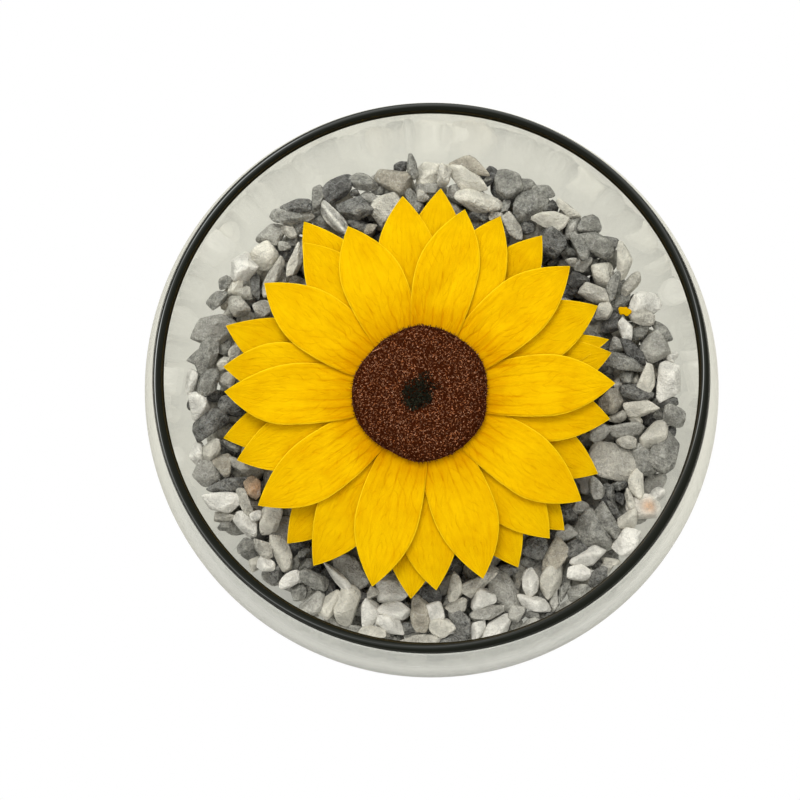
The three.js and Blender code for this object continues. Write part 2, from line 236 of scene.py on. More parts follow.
world = bpy.data.worlds.new("tent")
world.use_nodes = True
tent = world.node_tree.nodes["Background"]
tent.inputs["Color"].default_value = (1.0, 0.99, 0.96, 1.0)
heading = Wire(world.node_tree, world.node_tree.nodes.new("ShaderNodeTexCoord").outputs[0])
seen_directly = heading.node("LightPath", {}, {}, output="Is Camera Ray")
towards_top = heading.part("Z").step(-0.1, 0.75)
tent_light = towards_top * (TENT_TOP_LIGHT - TENT_LOW_LIGHT) + TENT_LOW_LIGHT
tent_strength = heading.maths("MAXIMUM", tent_light, seen_directly)
world.node_tree.links.new(tent_strength.socket, tent.inputs["Strength"])
bpy.context.scene.world = world
bpy.context.scene.view_settings.view_transform = "Standard"

lamp_data = bpy.data.lights.new("soft lamp", "AREA")
lamp_data.shape = "DISK"
lamp_data.size = LAMP_SIZE
lamp_data.energy = LAMP_POWER
lamp = placed("soft lamp", lamp_data)
lamp.location = LAMP_AT
lamp.rotation_mode = "QUATERNION"
lamp.rotation_quaternion = lamp.location.to_track_quat("Z", "Y")

# Seen through the glass, the card glows warm white at the back and is painted a cooler grey at
# the front, as painted shade.
card = Finish("card", Base_Color=(0.39, 0.382, 0.335, 1.0), Roughness=0.9, Emission_Strength=0.3)
to_front = {0: card.place, 1: (-0.12, -0.99, 0.0)}
card_slope = card.place.node("VectorMath", {"operation": "DOT_PRODUCT"}, to_front, output=1)
card_glow_and_painted_shade = card_slope.step(0.02, 0.115).colour((1.0, 0.98, 0.87), (0.55, 0.565, 0.58))
card.drive("Emission Color", card_glow_and_painted_shade)
card.swap("Is Camera Ray", "Emission", {"Color": (1.0, 1.0, 1.0, 1.0), "Strength": 1.0})
floor_points = FLOOR_HALF * np.array([[-1, -1, 0], [1, -1, 0], [1, 1, 0], [-1, 1, 0]], float)
floor_points[:, 2] = FLOOR_LEVEL
floor = new_object("floor", floor_points, np.array([[0, 1, 2], [0, 2, 3]]), [card], smooth=False)

# ---- Glass bowl ----
# Clear soda glass, blown into a mould as a bubble, cracked off and flame-polished, so that the
# rim is a rounded bead. From above the bead bends the light away and reads as a dark ring: here
# that dark is painted shade, a near-black colour on the bead, with a painted highlight line on it.

BOWL_RADIUS = 90.0
BOWL_HEIGHT = 108.0
BELLY_HEIGHT = 72.0
WALL = 3.0
BASE_THICKNESS = 4.0
BEAD_RADIUS = 1.27
BEAD_AT = 82.0
# How far below the bead's neck the rim painted dark as painted shade reaches, inside and outside.
BEAD_SHOWS_INSIDE = 1.3
BEAD_SHOWS_OUTSIDE = 0.1
MOUTH_OFFSET = np.array([0.33, 0.58])
FOOT_RADIUS = 48.0
PUSH_UP_RADIUS = 37.0
PUSH_UP_HEIGHT = 1.4
HEEL_HEIGHT = 6.0
INNER_RADIUS = BOWL_RADIUS - WALL
INNER_FLOOR_RADIUS = 46.0
INNER_HEEL_HEIGHT = 9.0
BOWL_SIDES = 360
WALL_STEPS = 66
HEEL_STEPS = 10


def grid_triangles(rows, columns, wrap):
    """Triangles between rows of points numbered row by row. wrap joins each row's two ends."""
    row = columns * np.arange(rows - 1)[:, None]
    column = np.arange(columns if wrap else columns - 1)[None]
    a = row + column
    b = row + (column + 1) % columns
    c = a + columns
    d = b + columns
    return np.stack([a, b, d, a, d, c], -1).reshape(-1, 3)


def skins(rings):
    """Closed solids from stacks of rings of points, shaped (solids, rings, points, 3).

    Neighbouring rings are joined all round, and each end is closed by a fan to its middle.
    """
    count, rows, columns = rings.shape[:3]
    middles = rings[:, [0, -1]].mean(2)
    points = np.concatenate([rings.reshape(count, -1, 3), middles], 1)
    turn = np.arange(columns)
    after = (turn + 1) % columns
    last = (rows - 1) * columns
    first_middle = np.full(columns, rows * columns)
    start = np.stack([after, turn, first_middle], 1)
    end = np.stack([last + turn, last + after, first_middle + 1], 1)
    one = np.concatenate([grid_triangles(rows, columns, wrap=True), start, end])
    size = points.shape[1]
    triangles = one[None] + size * np.arange(count)[:, None, None]
    return points.reshape(-1, 3), triangles.reshape(-1, 3)


def on_skins(values):
    """Values for rings of points, spread to the points that skins makes of those rings. The
    middle of an end gets the mean of its ring."""
    ends = values[:, [0, -1]].mean(2)
    return np.concatenate([values.reshape(len(values), -1), ends], 1).ravel()


def joined(first, second):
    """Two meshes as one: the second's triangles are renumbered to follow the first's points."""
    points = np.concatenate([first[0], second[0]])
    return points, np.concatenate([first[1], second[1] + len(first[0])])


def around(out, angle, height, sideways=0):
    """Points this far out from the Z axis at an angle from +X, and this far to the left there."""
    cos, sin = np.cos(angle), np.sin(angle)
    x, y = out * cos - sideways * sin, out * sin + sideways * cos
    return np.stack(np.broadcast_arrays(x, y, height), -1)


def turned(profile, sides):
    """A solid of revolution: the profile's [radius, height] points, from the underside's middle
    round the outside to the top's middle, turned about the Z axis."""
    angle = FULL_TURN * np.arange(sides) / sides
    rings = around(profile[1:-1, :1], angle, profile[1:-1, 1:])
    points, triangles = skins(rings[None])
    points[-2:] = [[0, 0, profile[0, 1]], [0, 0, profile[-1, 1]]]
    return points, triangles


def arc(radius, start, end, steps, centre=(0.0, BELLY_HEIGHT)):
    """Points of a circle in the profile's plane, by angle in degrees above the level."""
    angle = np.radians(np.linspace(start, end, steps + 1))
    return np.stack([centre[0] + radius * np.cos(angle), centre[1] + radius * np.sin(angle)], 1)


def wall(radius, start_height, end_height):
    """The bowl's sphere from one height to another: the sine of the angle above the level is
    the height over the belly, divided by the radius."""
    heights = np.array([start_height, end_height])
    start, end = np.degrees(np.arcsin((heights - BELLY_HEIGHT) / radius))
    return arc(radius, start, end, WALL_STEPS)


def heel(radius, height, sphere_radius, heel_height):
    """The quadratic curve from the flat at [radius, height] into the sphere at heel_height."""
    drop = BELLY_HEIGHT - heel_height
    end = np.array([np.sqrt(sphere_radius**2 - drop**2), heel_height])
    control = np.array([end[0] - (heel_height - height) * drop / end[0], height])
    t = np.linspace(0, 1, HEEL_STEPS + 1)[:, None]
    return (1 - t) ** 2 * np.array([radius, height]) + 2 * t * (1 - t) * control + t**2 * end


bead_height = BOWL_HEIGHT - BEAD_RADIUS
neck_height = bead_height - BEAD_RADIUS
push_up = np.linspace(0, 1, 10)[:, None]
underside = np.concatenate(
    [PUSH_UP_RADIUS * push_up, PUSH_UP_HEIGHT * np.cos(push_up * np.pi / 2) ** 2], 1
)
bead = arc(BEAD_RADIUS, -30, 210, 22, centre=(BEAD_AT, bead_height))
outside_low = heel(FOOT_RADIUS, 0.0, BOWL_RADIUS, HEEL_HEIGHT)
outside_high = wall(BOWL_RADIUS, HEEL_HEIGHT, neck_height)[1:]
inside_high = wall(INNER_RADIUS, neck_height, INNER_HEEL_HEIGHT)
inside_low = heel(INNER_FLOOR_RADIUS, BASE_THICKNESS, INNER_RADIUS, INNER_HEEL_HEIGHT)[-2::-1]
outer_profile = [underside, outside_low, outside_high, bead]
inner_profile = [inside_high, inside_low, [[0.0, BASE_THICKNESS]]]
bowl_points, bowl_triangles = turned(np.concatenate(outer_profile + inner_profile), BOWL_SIDES)

# Shadow rays pass through the glass, so that the lamp and the tent light the chippings.
glass_tint = (0.975, 0.985, 0.98, 1.0)
clear_glass = Finish(
    "clear glass", Base_Color=glass_tint, Roughness=0.0, IOR=1.5, Transmission_Weight=1.0
)
clear_glass.swap("Is Shadow Ray", "BsdfTransparent", {"Color": (0.93, 0.94, 0.935, 1.0)})

# Painted highlight: a thin bright line, the lamp's reflection painted into the colour, wanders
# across the bead as it goes round: it is strongest on the left and the right, weaker at the top
# left and the bottom left, and lies in a faint, broader painted glow. Elsewhere the bead is painted
# near black, as painted shade.
painted_dark_rim = Finish("painted dark rim", Roughness=0.3, IOR=1.2, Specular_IOR_Level=0.15)
flat_place = {0: painted_dark_rim.place.times((1.0, 1.0, 0.0))}
from_axis = painted_dark_rim.place.node("VectorMath", {"operation": "LENGTH"}, flat_place, output=1)
rim_right = painted_dark_rim.place.part("X") / from_axis
rim_top = painted_dark_rim.place.part("Y") / from_axis
highlight_at = rim_right * -0.5 + rim_top * 0.34 + rim_right * rim_top + 0.08
from_highlight = (painted_dark_rim.attribute("across_bead") - highlight_at).size()
sideways = rim_right.size() ** 24.0
top_left = (rim_top - rim_right).step(1.3, 1.4)
low_left = (rim_top + rim_right).step(-1.2, -1.4)
highlight_share = sideways * (0.52 - rim_right * 0.16) + top_left * 0.3 + low_left * 0.13 + 0.03
highlight_strength = from_highlight.step(0.13, 0.03) * highlight_share
painted_glow_strength = from_highlight.step(0.7, 0.1) * (rim_top.step(0.2, 0.8) * 0.025 + 0.025)
painted_rim_light = highlight_strength + painted_glow_strength
painted_dark_rim.drive("Base Color", painted_rim_light.colour((0.010, 0.011, 0.008), (0.75, 0.78, 0.78)))

across_bead = (np.hypot(bowl_points[:, 0], bowl_points[:, 1]) - BEAD_AT) / BEAD_RADIUS
above_belly = np.clip((bowl_points[:, 2] - BELLY_HEIGHT) / (BOWL_HEIGHT - BELLY_HEIGHT), 0, 1)
bowl_points[:, :2] += MOUTH_OFFSET * above_belly[:, None] ** 2
vase = new_piece(
    "vase", bowl_points, bowl_triangles, [clear_glass, painted_dark_rim], "vase", "clear_glass"
)
# The bead's faces, and a strip of the inside just below it, get the rim painted dark as painted
# shade.
lowest = bowl_points[bowl_triangles][:, :, 2].min(1)
inside = across_bead[bowl_triangles].mean(1) < 0
on_bead = lowest > neck_height - np.where(inside, BEAD_SHOWS_INSIDE, BEAD_SHOWS_OUTSIDE)
vase.data.polygons.foreach_set("material_index", on_bead.astype(np.int32))
store(vase, "across_bead", across_bead)

# ---- Marble chippings ----
# Crushed marble, tumbled until its edges are soft, sieved to 5 to 13 mm and poured in loose. The
# pale ones are white and cream marble, the grey ones are speckled with dark and light grains.

ROOM_RADIUS = 86.3
ROOM_FLOOR = 4.3
LID_UNDER_FLOWER = 47.7
LID_ELSEWHERE = 44.2
FLOWER = np.array([-3.6, 0.6, 0.0])
STEM_RADIUS = 3.6
STEM_GAP = 4.0
STEM_FREE_BELOW = 20.0
# Where the floor turns up into the wall: its radius, its width and how far it rises there.
HEEL_STARTS_AT = 44.0
HEEL_WIDTH = 16.0
HEEL_RISE = 5.0

# The packing's rounds, and how it looks for chips that touch.
PACKING_ROUNDS = 220
SEARCH_EVERY = 10
SEARCH_DISTANCE = 18.0
TOUCH_DISTANCE = 17.0
TOUCHING_SHARE = 0.95
# How large a chip starts, when all are full grown, and how hard they push and are drawn back.
START_SHARE = 0.5
FULL_GROWN_AT = 0.55
PUSH_GAIN = 1.5
PUSH_SHARING = 0.6
MOST_LIFT = 0.5
RISE_EACH_ROUND = 0.12
HOME_PULL = 0.85

PICTURE_SIZE = 800
MM_PER_PIXEL = 0.329
# A noted chip that lies on top: the heights of its middle and its lid, and the steps down.
NOTED_MIDDLE = 47.5
NOTED_MIDDLE_STEP = 2.2
NOTED_LID = 49.8
NOTED_LID_STEP = 2.6
# Its half thickness is this share of its half width, within limits.
NOTED_THICKNESS = 0.8
NOTED_THINNEST = 1.5
NOTED_THICKEST = 3.3

# The loose chips' half lengths, most often and at the least and the most.
CHIP_COUNT = 2480
HALF_LENGTH = 4.05
HALF_LENGTH_SPREAD = 0.24
SHORTEST_HALF = 2.4
LONGEST_HALF = 6.8
# Between these heights they start, and the flower lies over those this near to its axis.
STARTS_BETWEEN = (6.0, 43.0)
START_CLEARANCE = 4.0
UNDER_FLOWER_RADIUS = 50.0

CUTS = 15
GOLDEN_TURN = 0.618
CUT_SCATTER = 0.36
DEEPEST_CUT = 0.66
EDGE_SOFTNESS = 17.0
LONGEST_CORNER = 1.2
CHIP_HIGHEST = 51.0


def turns(angle, axis):
    """Rotation matrices, one for each angle, about X (0) or Z (2)."""
    cos, sin = np.cos(angle), np.sin(angle)
    none, one = np.zeros_like(cos), np.ones_like(cos)
    if axis == 0:
        rows = [[one, none, none], [none, cos, -sin], [none, sin, cos]]
    else:
        rows = [[cos, -sin, none], [sin, cos, none], [none, none, one]]
    return np.moveaxis(np.array(rows), 2, 0)


def reach(shape, direction):
    """How far each ellipsoid stretches from its middle along its direction."""
    return np.sqrt(np.einsum("ni,nij,nj->n", direction, shape, direction))


def near_pairs(places, distance):
    """Pairs of places nearer than distance, found in a grid of cells of that size."""
    cell = np.floor(places / distance).astype(int)
    cell += 1 - cell.min(0)
    size = cell.max(0) + 2
    key = (cell[:, 0] * size[1] + cell[:, 1]) * size[2] + cell[:, 2]
    order = np.argsort(key, kind="stable")
    found = []
    for step in np.ndindex(3, 3, 3):
        shift = ((step[0] - 1) * size[1] + step[1] - 1) * size[2] + step[2] - 1
        low = np.searchsorted(key[order], key + shift, "left")
        count = np.searchsorted(key[order], key + shift, "right") - low
        first = np.repeat(np.arange(len(places)), count)
        within = np.arange(count.sum()) - np.repeat(np.cumsum(count) - count, count)
        second = order[np.repeat(low, count) + within]
        close = ((places[first] - places[second]) ** 2).sum(1) < distance**2
        keep = close & (first < second)
        found.append(np.stack([first[keep], second[keep]], 1))
    return np.concatenate(found)


def kept_in(places, shape, growth, lid):
    """Moves ellipsoids to inside the glass, above the floor and the heel's rise, under each
    one's lid and clear of the stem. Half an ellipsoid's height is the root of its shape's last
    term."""
    height = growth * np.sqrt(shape[:, 2, 2])
    outward = places - [0.0, 0.0, BELLY_HEIGHT]
    distance = np.sqrt((outward**2).sum(1))
    outward /= distance[:, None]
    over = distance + growth * reach(shape, outward) - ROOM_RADIUS
    places -= outward * np.maximum(over, 0)[:, None]
    past_heel = (np.hypot(places[:, 0], places[:, 1]) - HEEL_STARTS_AT) / HEEL_WIDTH
    lowest = ROOM_FLOOR + HEEL_RISE * np.clip(past_heel, 0, 1) ** 2 + height
    places[:, 2] = np.maximum(places[:, 2], lowest)
    places[:, 2] = np.minimum(places[:, 2], np.maximum(lid - height, lowest))
    from_stem = (places - FLOWER)[:, :2]
    distance = np.hypot(*from_stem.T)
    beside_stem = places[:, 2] > STEM_FREE_BELOW
    short = np.maximum(STEM_RADIUS + STEM_GAP - distance, 0) * beside_stem
    places[:, :2] += from_stem / distance[:, None] * short[:, None]


def packed(places, shape, lid, kept, rounds):
    """Settles ellipsoids in the bowl: they grow from half size while each pair that overlaps is
    pushed apart, and the glass, the floor, the stem and each one's lid keep them in. The first
    kept ones are drawn back to where they started, seen from above, and up to their lid."""
    home = places[:kept, :2].copy()
    for turn in range(rounds):
        grown = START_SHARE + (1 - START_SHARE) * turn / (FULL_GROWN_AT * rounds)
        growth = np.full(len(places), min(1.0, grown))
        growth[:kept] = 1.0
        if turn % SEARCH_EVERY == 0:
            pairs = near_pairs(places, SEARCH_DISTANCE)
        first, second = pairs.T
        apart = places[second] - places[first]
        distance = np.sqrt((apart**2).sum(1)) + 1e-9
        close = distance < TOUCH_DISTANCE
        first, second, distance = first[close], second[close], distance[close]
        direction = apart[close] / distance[:, None]
        room = growth[first] * reach(shape[first], direction)
        room = TOUCHING_SHARE * (room + growth[second] * reach(shape[second], direction))
        hit = room > distance
        first, second, direction = first[hit], second[hit], direction[hit]
        push = direction * (0.5 * (room - distance)[hit])[:, None]
        ends = np.concatenate([first, second])
        pushes = np.concatenate([-push, push])
        count = np.bincount(ends, minlength=len(places))
        moves = [np.bincount(ends, pushes[:, axis], len(places)) for axis in range(3)]
        move = np.stack(moves, 1) * (PUSH_GAIN / np.maximum(PUSH_SHARING * count, 1)[:, None])
        move[:kept, 2] = np.clip(move[:kept, 2], -MOST_LIFT, MOST_LIFT) + RISE_EACH_ROUND
        places += move
        places[:kept, :2] += HOME_PULL * (home - places[:kept, :2])
        kept_in(places, shape, growth, lid)
    return places


def seen_at(across, down, height):
    """Where the camera's ray through a place in the picture meets this height. The place is in
    pixels from the top left corner of a picture PICTURE_SIZE wide."""
    focal = PICTURE_SIZE * camera_data.lens / camera_data.sensor_width
    to_right = CAMERA_RIGHT * (across[:, None] - PICTURE_SIZE / 2) / focal
    to_bottom = CAMERA_UP * (down[:, None] - PICTURE_SIZE / 2) / focal
    ray = to_right - to_bottom - CAMERA_BACK
    return camera_eye + ray * ((height - camera_eye[2]) / ray[:, 2])[:, None]


# Chips that show round the flower, judged one by one: how far across and down the picture the
# chip's middle is, its length and width there, which way it points (degrees from +X to +Y),
# how deep it lies (0 on top, and less than 0 where it stands proud) and its tint.
NOTED_CHIPS = [
    (205, 326, 48, 27, 30, 0, "pale grey"), (192, 356, 22, 13, 38, 1, "grey"),
    (207, 353, 41, 20, 67, 0, "grey"), (187, 381, 23, 14, 88, 1, "white"),
    (207, 383, 32, 20, 55, 0, "grey"), (198, 405, 27, 21, -60, 0, "white"),
    (223, 345, 19, 14, 90, 1, "grey"), (236, 352, 17, 14, 20, 0, "pale"),
    (224, 363, 17, 12, 10, 1, "cream"), (226, 380, 19, 14, 70, 1, "pale"),
    (232, 404, 32, 20, -25, 1, "slate"), (214, 397, 13, 12, 0, 2, "slate"),
    (226, 331, 15, 12, 0, 2, "dark"), (218, 300, 25, 14, 45, 1, "grey"),
    (185, 401, 15, 9, 75, 2, "slate"), (242, 265, 30, 28, 20, 0, "white"),
    (265, 256, 31, 27, 88, 0, "cream"), (268, 232, 31, 22, 15, 1, "pale grey"),
    (284, 247, 14, 10, 0, 1, "pale grey"), (225, 282, 15, 12, 80, 1, "grey"),
    (236, 287, 20, 15, 40, 1, "cream"), (246, 294, 19, 12, -45, 1, "pale"),
    (239, 307, 24, 20, -20, 0, "pale"), (228, 312, 14, 11, 60, 1, "pale"),
    (262, 309, 20, 18, 40, 0, "pale"), (273, 276, 38, 14, 62, 0, "pale"),
    (255, 286, 28, 10, 98, 1, "slate"), (286, 254, 17, 12, 60, 2, "dark"),
    (288, 231, 17, 12, -20, 1, "pale"), (293, 241, 12, 10, 0, 2, "grey"),
    (299, 225, 22, 13, 80, 1, "grey"), (295, 263, 33, 13, 75, 0, "cream"),
    (296, 203, 29, 16, 0, 0, "slate"), (286, 216, 31, 15, -4, 0, "grey"),
    (317, 200, 28, 13, 80, 0, "grey"), (337, 190, 37, 20, 40, 0, "dark"),
    (363, 183, 32, 15, -12, 0, "grey"), (355, 209, 38, 23, -5, 0, "slate"),
    (369, 198, 19, 12, -20, 1, "pale grey"), (378, 190, 15, 9, 15, 1, "grey"),
    (355, 193, 9, 8, 0, 1, "slate"), (334, 218, 42, 15, -50, 0, "banded"),
    (321, 220, 26, 14, -25, 1, "grey"), (306, 216, 15, 10, 0, 1, "pale"),
    (357, 225, 21, 12, -15, 1, "slate"), (370, 229, 12, 11, 30, 1, "tan"),
    (387, 207, 36, 24, 60, 0, "pale"), (395, 180, 40, 24, -8, 0, "tan"),
    (401, 166, 15, 11, 30, 1, "dark"), (412, 166, 25, 11, 100, 0, "grey"),
    (431, 170, 33, 22, 18, 0, "cream"), (443, 177, 25, 14, 85, 0, "pale"),
    (428, 188, 23, 13, 0, 1, "pale grey"), (412, 200, 28, 12, -62, 1, "grey"),
    (422, 197, 13, 12, 0, 1, "pale"), (468, 178, 43, 20, -33, 0, "cream"),
    (471, 161, 41, 18, -18, 0, "tan"), (479, 202, 47, 22, -14, 0, "cream"),
    (480, 215, 24, 14, -10, 1, "slate"), (455, 192, 15, 13, 60, 1, "pale grey"),
    (464, 190, 11, 9, 0, 2, "dark"), (491, 169, 20, 14, 70, 1, "dark"),
    (499, 189, 27, 18, -52, 1, "slate"), (487, 179, 9, 8, 0, 1, "grey"),
    (496, 216, 14, 10, 0, 1, "pale"), (511, 173, 37, 27, 108, 0, "grey"),
    (532, 178, 20, 16, 0, 1, "grey"), (542, 192, 23, 12, -10, 1, "grey"),
    (527, 206, 37, 29, 50, 0, "grey"), (547, 206, 16, 14, 0, 1, "slate"),
    (516, 196, 16, 13, 20, 1, "grey"), (505, 207, 17, 10, 80, 1, "grey"),
    (512, 227, 27, 15, -60, 0, "pale"), (527, 228, 18, 14, 0, 1, "slate"),
    (550, 221, 30, 19, 0, 0, "cream"), (555, 241, 34, 25, -35, 0, "slate"),
    (573, 225, 25, 17, 60, 1, "pale grey"), (590, 225, 22, 20, 0, 0, "grey"),
    (569, 211, 26, 11, -42, 1, "cream"), (580, 246, 28, 16, -62, 0, "grey"),
    (600, 245, 37, 22, -40, 0, "grey"), (612, 240, 21, 12, -32, 1, "slate"),
    (624, 259, 34, 16, 90, 0, "cream"), (605, 273, 31, 23, 100, 0, "cream"),
    (613, 286, 27, 13, 68, 0, "grey"), (630, 284, 27, 13, 50, 1, "pale"),
    (646, 304, 28, 26, 0, 0, "white"), (593, 293, 31, 17, -10, 0, "pale"),
    (604, 311, 21, 17, 60, 0, "cream"), (620, 302, 33, 12, 48, 1, "grey"),
    (578, 280, 21, 16, 20, 1, "dark"), (583, 264, 21, 12, 35, 1, "pale grey"),
    (572, 262, 12, 10, 0, 1, "pale"), (568, 251, 19, 13, -30, 1, "grey"),
    (574, 291, 12, 10, 0, 2, "dark"), (641, 318, 29, 14, -20, 0, "pale"),
    (614, 323, 23, 18, 30, 1, "dark"), (626, 331, 23, 15, -72, 0, "white"),
    (641, 332, 21, 12, 45, 1, "grey"), (655, 347, 31, 26, 85, 0, "pale grey"),
    (664, 332, 27, 12, -52, 1, "grey"), (617, 344, 17, 15, 0, 1, "pale grey"),
    (633, 352, 33, 15, -48, 0, "dark"), (623, 362, 44, 17, -10, 0, "grey"),
    (627, 377, 15, 14, 0, 1, "grey"), (646, 381, 39, 16, 80, 0, "cream"),
    (670, 380, 40, 24, 90, 0, "white"), (635, 393, 32, 17, -8, 0, "slate"),
    (617, 387, 9, 8, 0, 1, "pale"), (641, 408, 32, 15, 6, 0, "cream"),
    (611, 403, 26, 22, 85, 0, "tan"), (668, 402, 21, 12, 10, 1, "slate"),
    (674, 416, 24, 22, -30, 0, "grey"), (673, 357, 12, 10, 0, 1, "white"),
    (657, 414, 15, 10, -50, 1, "grey"), (618, 418, 19, 11, 20, 1, "pale"),
    (636, 421, 16, 10, -50, 1, "cream"), (653, 437, 34, 22, 45, 0, "cream"),
    (671, 431, 15, 11, 60, 1, "dark"), (668, 455, 46, 28, 72, 0, "grey"),
    (625, 430, 31, 16, 0, 0, "pale grey"), (628, 443, 21, 13, -15, 0, "pale"),
    (600, 434, 28, 14, 35, 0, "pale grey"), (616, 461, 45, 36, -30, 0, "pale"),
    (645, 462, 31, 20, -62, 0, "grey"), (636, 484, 26, 15, 95, 0, "cream"),
    (654, 486, 26, 17, 60, 1, "pale grey"), (663, 498, 19, 14, 30, 1, "white"),
    (645, 508, 31, 24, -30, 0, "rusty white"), (620, 484, 16, 12, 20, 1, "slate"),
    (596, 488, 19, 16, 80, 0, "pale grey"), (609, 492, 21, 9, -70, 1, "slate"),
    (630, 499, 23, 8, -75, 0, "pale"), (619, 498, 14, 12, 80, 2, "dark"),
    (602, 497, 13, 10, -50, 1, "dark"), (567, 513, 18, 15, -30, 1, "slate"),
    (580, 508, 19, 12, -20, 1, "pale grey"), (581, 519, 13, 9, 15, 1, "grey"),
    (594, 531, 42, 26, -52, 0, "grey"), (609, 521, 46, 13, -60, 0, "grey"),
    (615, 511, 25, 9, -62, 1, "slate"), (629, 520, 21, 18, 60, 0, "cream"),
    (627, 543, 33, 23, 38, -0.4, "white"), (566, 533, 23, 13, 5, 0, "pale grey"),
    (575, 549, 22, 18, 15, 0, "slate"), (556, 555, 34, 21, 55, 0, "tan"),
    (535, 550, 29, 20, -10, 0, "slate"), (589, 557, 33, 17, 22, 0, "white"),
    (580, 573, 28, 17, -14, 0, "white"), (552, 579, 38, 22, 72, 0, "cream"),
    (531, 583, 27, 16, 82, 0, "white"), (518, 579, 29, 11, 72, 1, "pale"),
    (567, 576, 27, 10, 80, 1, "grey"), (578, 592, 27, 15, 10, 0, "grey"),
    (598, 578, 21, 16, 40, 0, "slate"), (607, 567, 15, 10, 20, 1, "pale"),
    (597, 565, 15, 9, 0, 1, "slate"), (611, 562, 18, 8, -10, 1, "cream"),
    (564, 591, 21, 8, 68, 1, "grey"), (535, 604, 32, 17, -12, 0, "white"),
    (554, 602, 21, 10, 80, 1, "pale grey"), (504, 593, 42, 24, -55, 0, "pale grey"),
    (532, 615, 19, 9, -8, 1, "grey"), (516, 614, 18, 14, 60, 0, "pale grey"),
    (528, 562, 15, 10, -30, 1, "grey"), (483, 599, 28, 21, 40, 0, "white"),
    (474, 586, 30, 17, 20, 0, "pale"), (490, 574, 22, 11, 55, 0, "pale"),
    (456, 588, 26, 15, 88, 0, "cream"), (457, 607, 19, 14, 20, 0, "pale"),
    (447, 602, 19, 8, 60, 1, "grey"), (430, 594, 28, 18, 0, 0, "dark"),
    (421, 614, 38, 20, 100, 0, "tan"), (433, 613, 22, 19, 0, 0, "white"),
    (441, 625, 27, 19, -30, 0, "cream"), (488, 612, 27, 15, 10, 0, "pale grey"),
    (479, 629, 20, 14, 80, 0, "white"), (497, 627, 35, 18, 38, 0, "white"),
    (461, 622, 33, 16, -68, 0, "slate"), (466, 600, 13, 8, 90, 1, "dark"),
    (396, 611, 32, 16, -10, 0, "white"), (388, 625, 27, 18, -25, 0, "white"),
    (407, 628, 17, 13, 0, 1, "slate"), (406, 606, 11, 9, 0, 1, "slate"),
    (391, 590, 33, 25, -10, 0, "white"), (507, 570, 18, 14, 10, 1, "slate"),
    (370, 613, 29, 20, 85, 0, "white"), (374, 632, 26, 12, -6, 0, "cream"),
    (346, 608, 36, 25, 80, 0, "cream"), (329, 606, 28, 16, 60, 0, "cream"),
    (314, 605, 31, 20, 30, 0, "pale grey"), (315, 580, 33, 18, -28, 0, "grey"),
    (291, 580, 23, 13, 35, 0, "white"), (283, 553, 40, 16, -68, 0, "cream"),
    (299, 591, 18, 14, 20, 1, "grey"), (352, 575, 40, 24, -50, 0, "pale grey"),
    (338, 578, 40, 9, -48, 0, "white"), (299, 546, 17, 14, 0, 1, "dark"),
    (304, 553, 11, 7, 30, 0, "grey"), (296, 563, 16, 11, 80, 1, "grey"),
    (307, 565, 15, 12, 20, 1, "grey"), (331, 591, 15, 12, 60, 1, "dark"),
    (276, 575, 19, 12, 70, 1, "slate"), (363, 597, 11, 10, 0, 1, "dark"),
    (272, 555, 12, 10, 0, 1, "slate"), (265, 565, 17, 13, -30, 0, "white"),
    (372, 593, 13, 10, 60, 0, "pale"), (208, 425, 39, 24, 25, 0, "slate"),
    (210, 451, 23, 17, 60, 0, "cream"), (192, 455, 23, 16, 75, 1, "white"),
    (206, 474, 27, 24, 80, 0, "pale grey"), (224, 465, 26, 17, -62, 0, "tan"),
    (238, 465, 21, 12, -22, 0, "pale"), (226, 487, 40, 14, 14, 0, "slate"),
    (254, 487, 25, 15, -62, 0, "rusty"), (220, 503, 38, 19, 0, 0, "white"),
    (245, 501, 28, 11, -62, 0, "pale"), (245, 523, 28, 20, -42, 0, "white"),
    (271, 521, 31, 22, 58, 0, "cream"), (256, 516, 14, 10, 30, 0, "white"),
    (222, 518, 20, 10, 0, 1, "pale"), (232, 447, 22, 8, -24, 1, "grey"),
    (225, 526, 15, 10, 0, 1, "grey"), (262, 547, 22, 14, -40, 0, "pale"),
    (247, 546, 18, 13, 20, 0, "grey"), (256, 564, 16, 12, 50, 1, "cream"),
    (420, 641, 40, 13, 4, 0.5, "pale"), (397, 640, 18, 13, 0, 1, "slate"),
    (452, 640, 32, 14, 8, 0.6, "slate"), (474, 640, 18, 12, 20, 1, "pale"),
    (492, 636, 22, 12, 10, 1.4, "grey"), (514, 627, 24, 14, 75, 0.6, "grey"),
    (530, 624, 18, 12, 20, 1, "pale grey"), (548, 617, 22, 12, 25, 1, "slate"),
    (567, 608, 26, 13, 30, 0.6, "grey"), (586, 597, 22, 13, 35, 1, "pale"),
    (603, 585, 20, 13, 40, 1, "grey"), (357, 632, 24, 12, -12, 1.2, "grey"),
    (335, 625, 26, 12, -15, 1.6, "pale grey"), (308, 613, 22, 12, -25, 1.8, "pale grey"),
    (375, 641, 24, 12, 0, 1.2, "grey"), (436, 635, 18, 12, 0, 1.6, "grey"),
]

random = np.random.default_rng(5)
noted_numbers = np.array([chip[:6] for chip in NOTED_CHIPS], float)
across, down, seen_length, seen_width, bearing, depth = noted_numbers.T
noted = len(NOTED_CHIPS)
noted_lid = NOTED_LID - NOTED_LID_STEP * depth
noted_places = seen_at(across, down, NOTED_MIDDLE - NOTED_MIDDLE_STEP * depth)
seen_sizes = [seen_length, seen_width, NOTED_THICKNESS * seen_width]
noted_axes = 0.5 * MM_PER_PIXEL * np.stack(seen_sizes, 1)
noted_axes[:, 2] = np.clip(noted_axes[:, 2], NOTED_THINNEST, NOTED_THICKEST)
noted_turns = turns(np.radians(bearing), 2) @ turns(random.normal(0, 0.12, noted), 0)

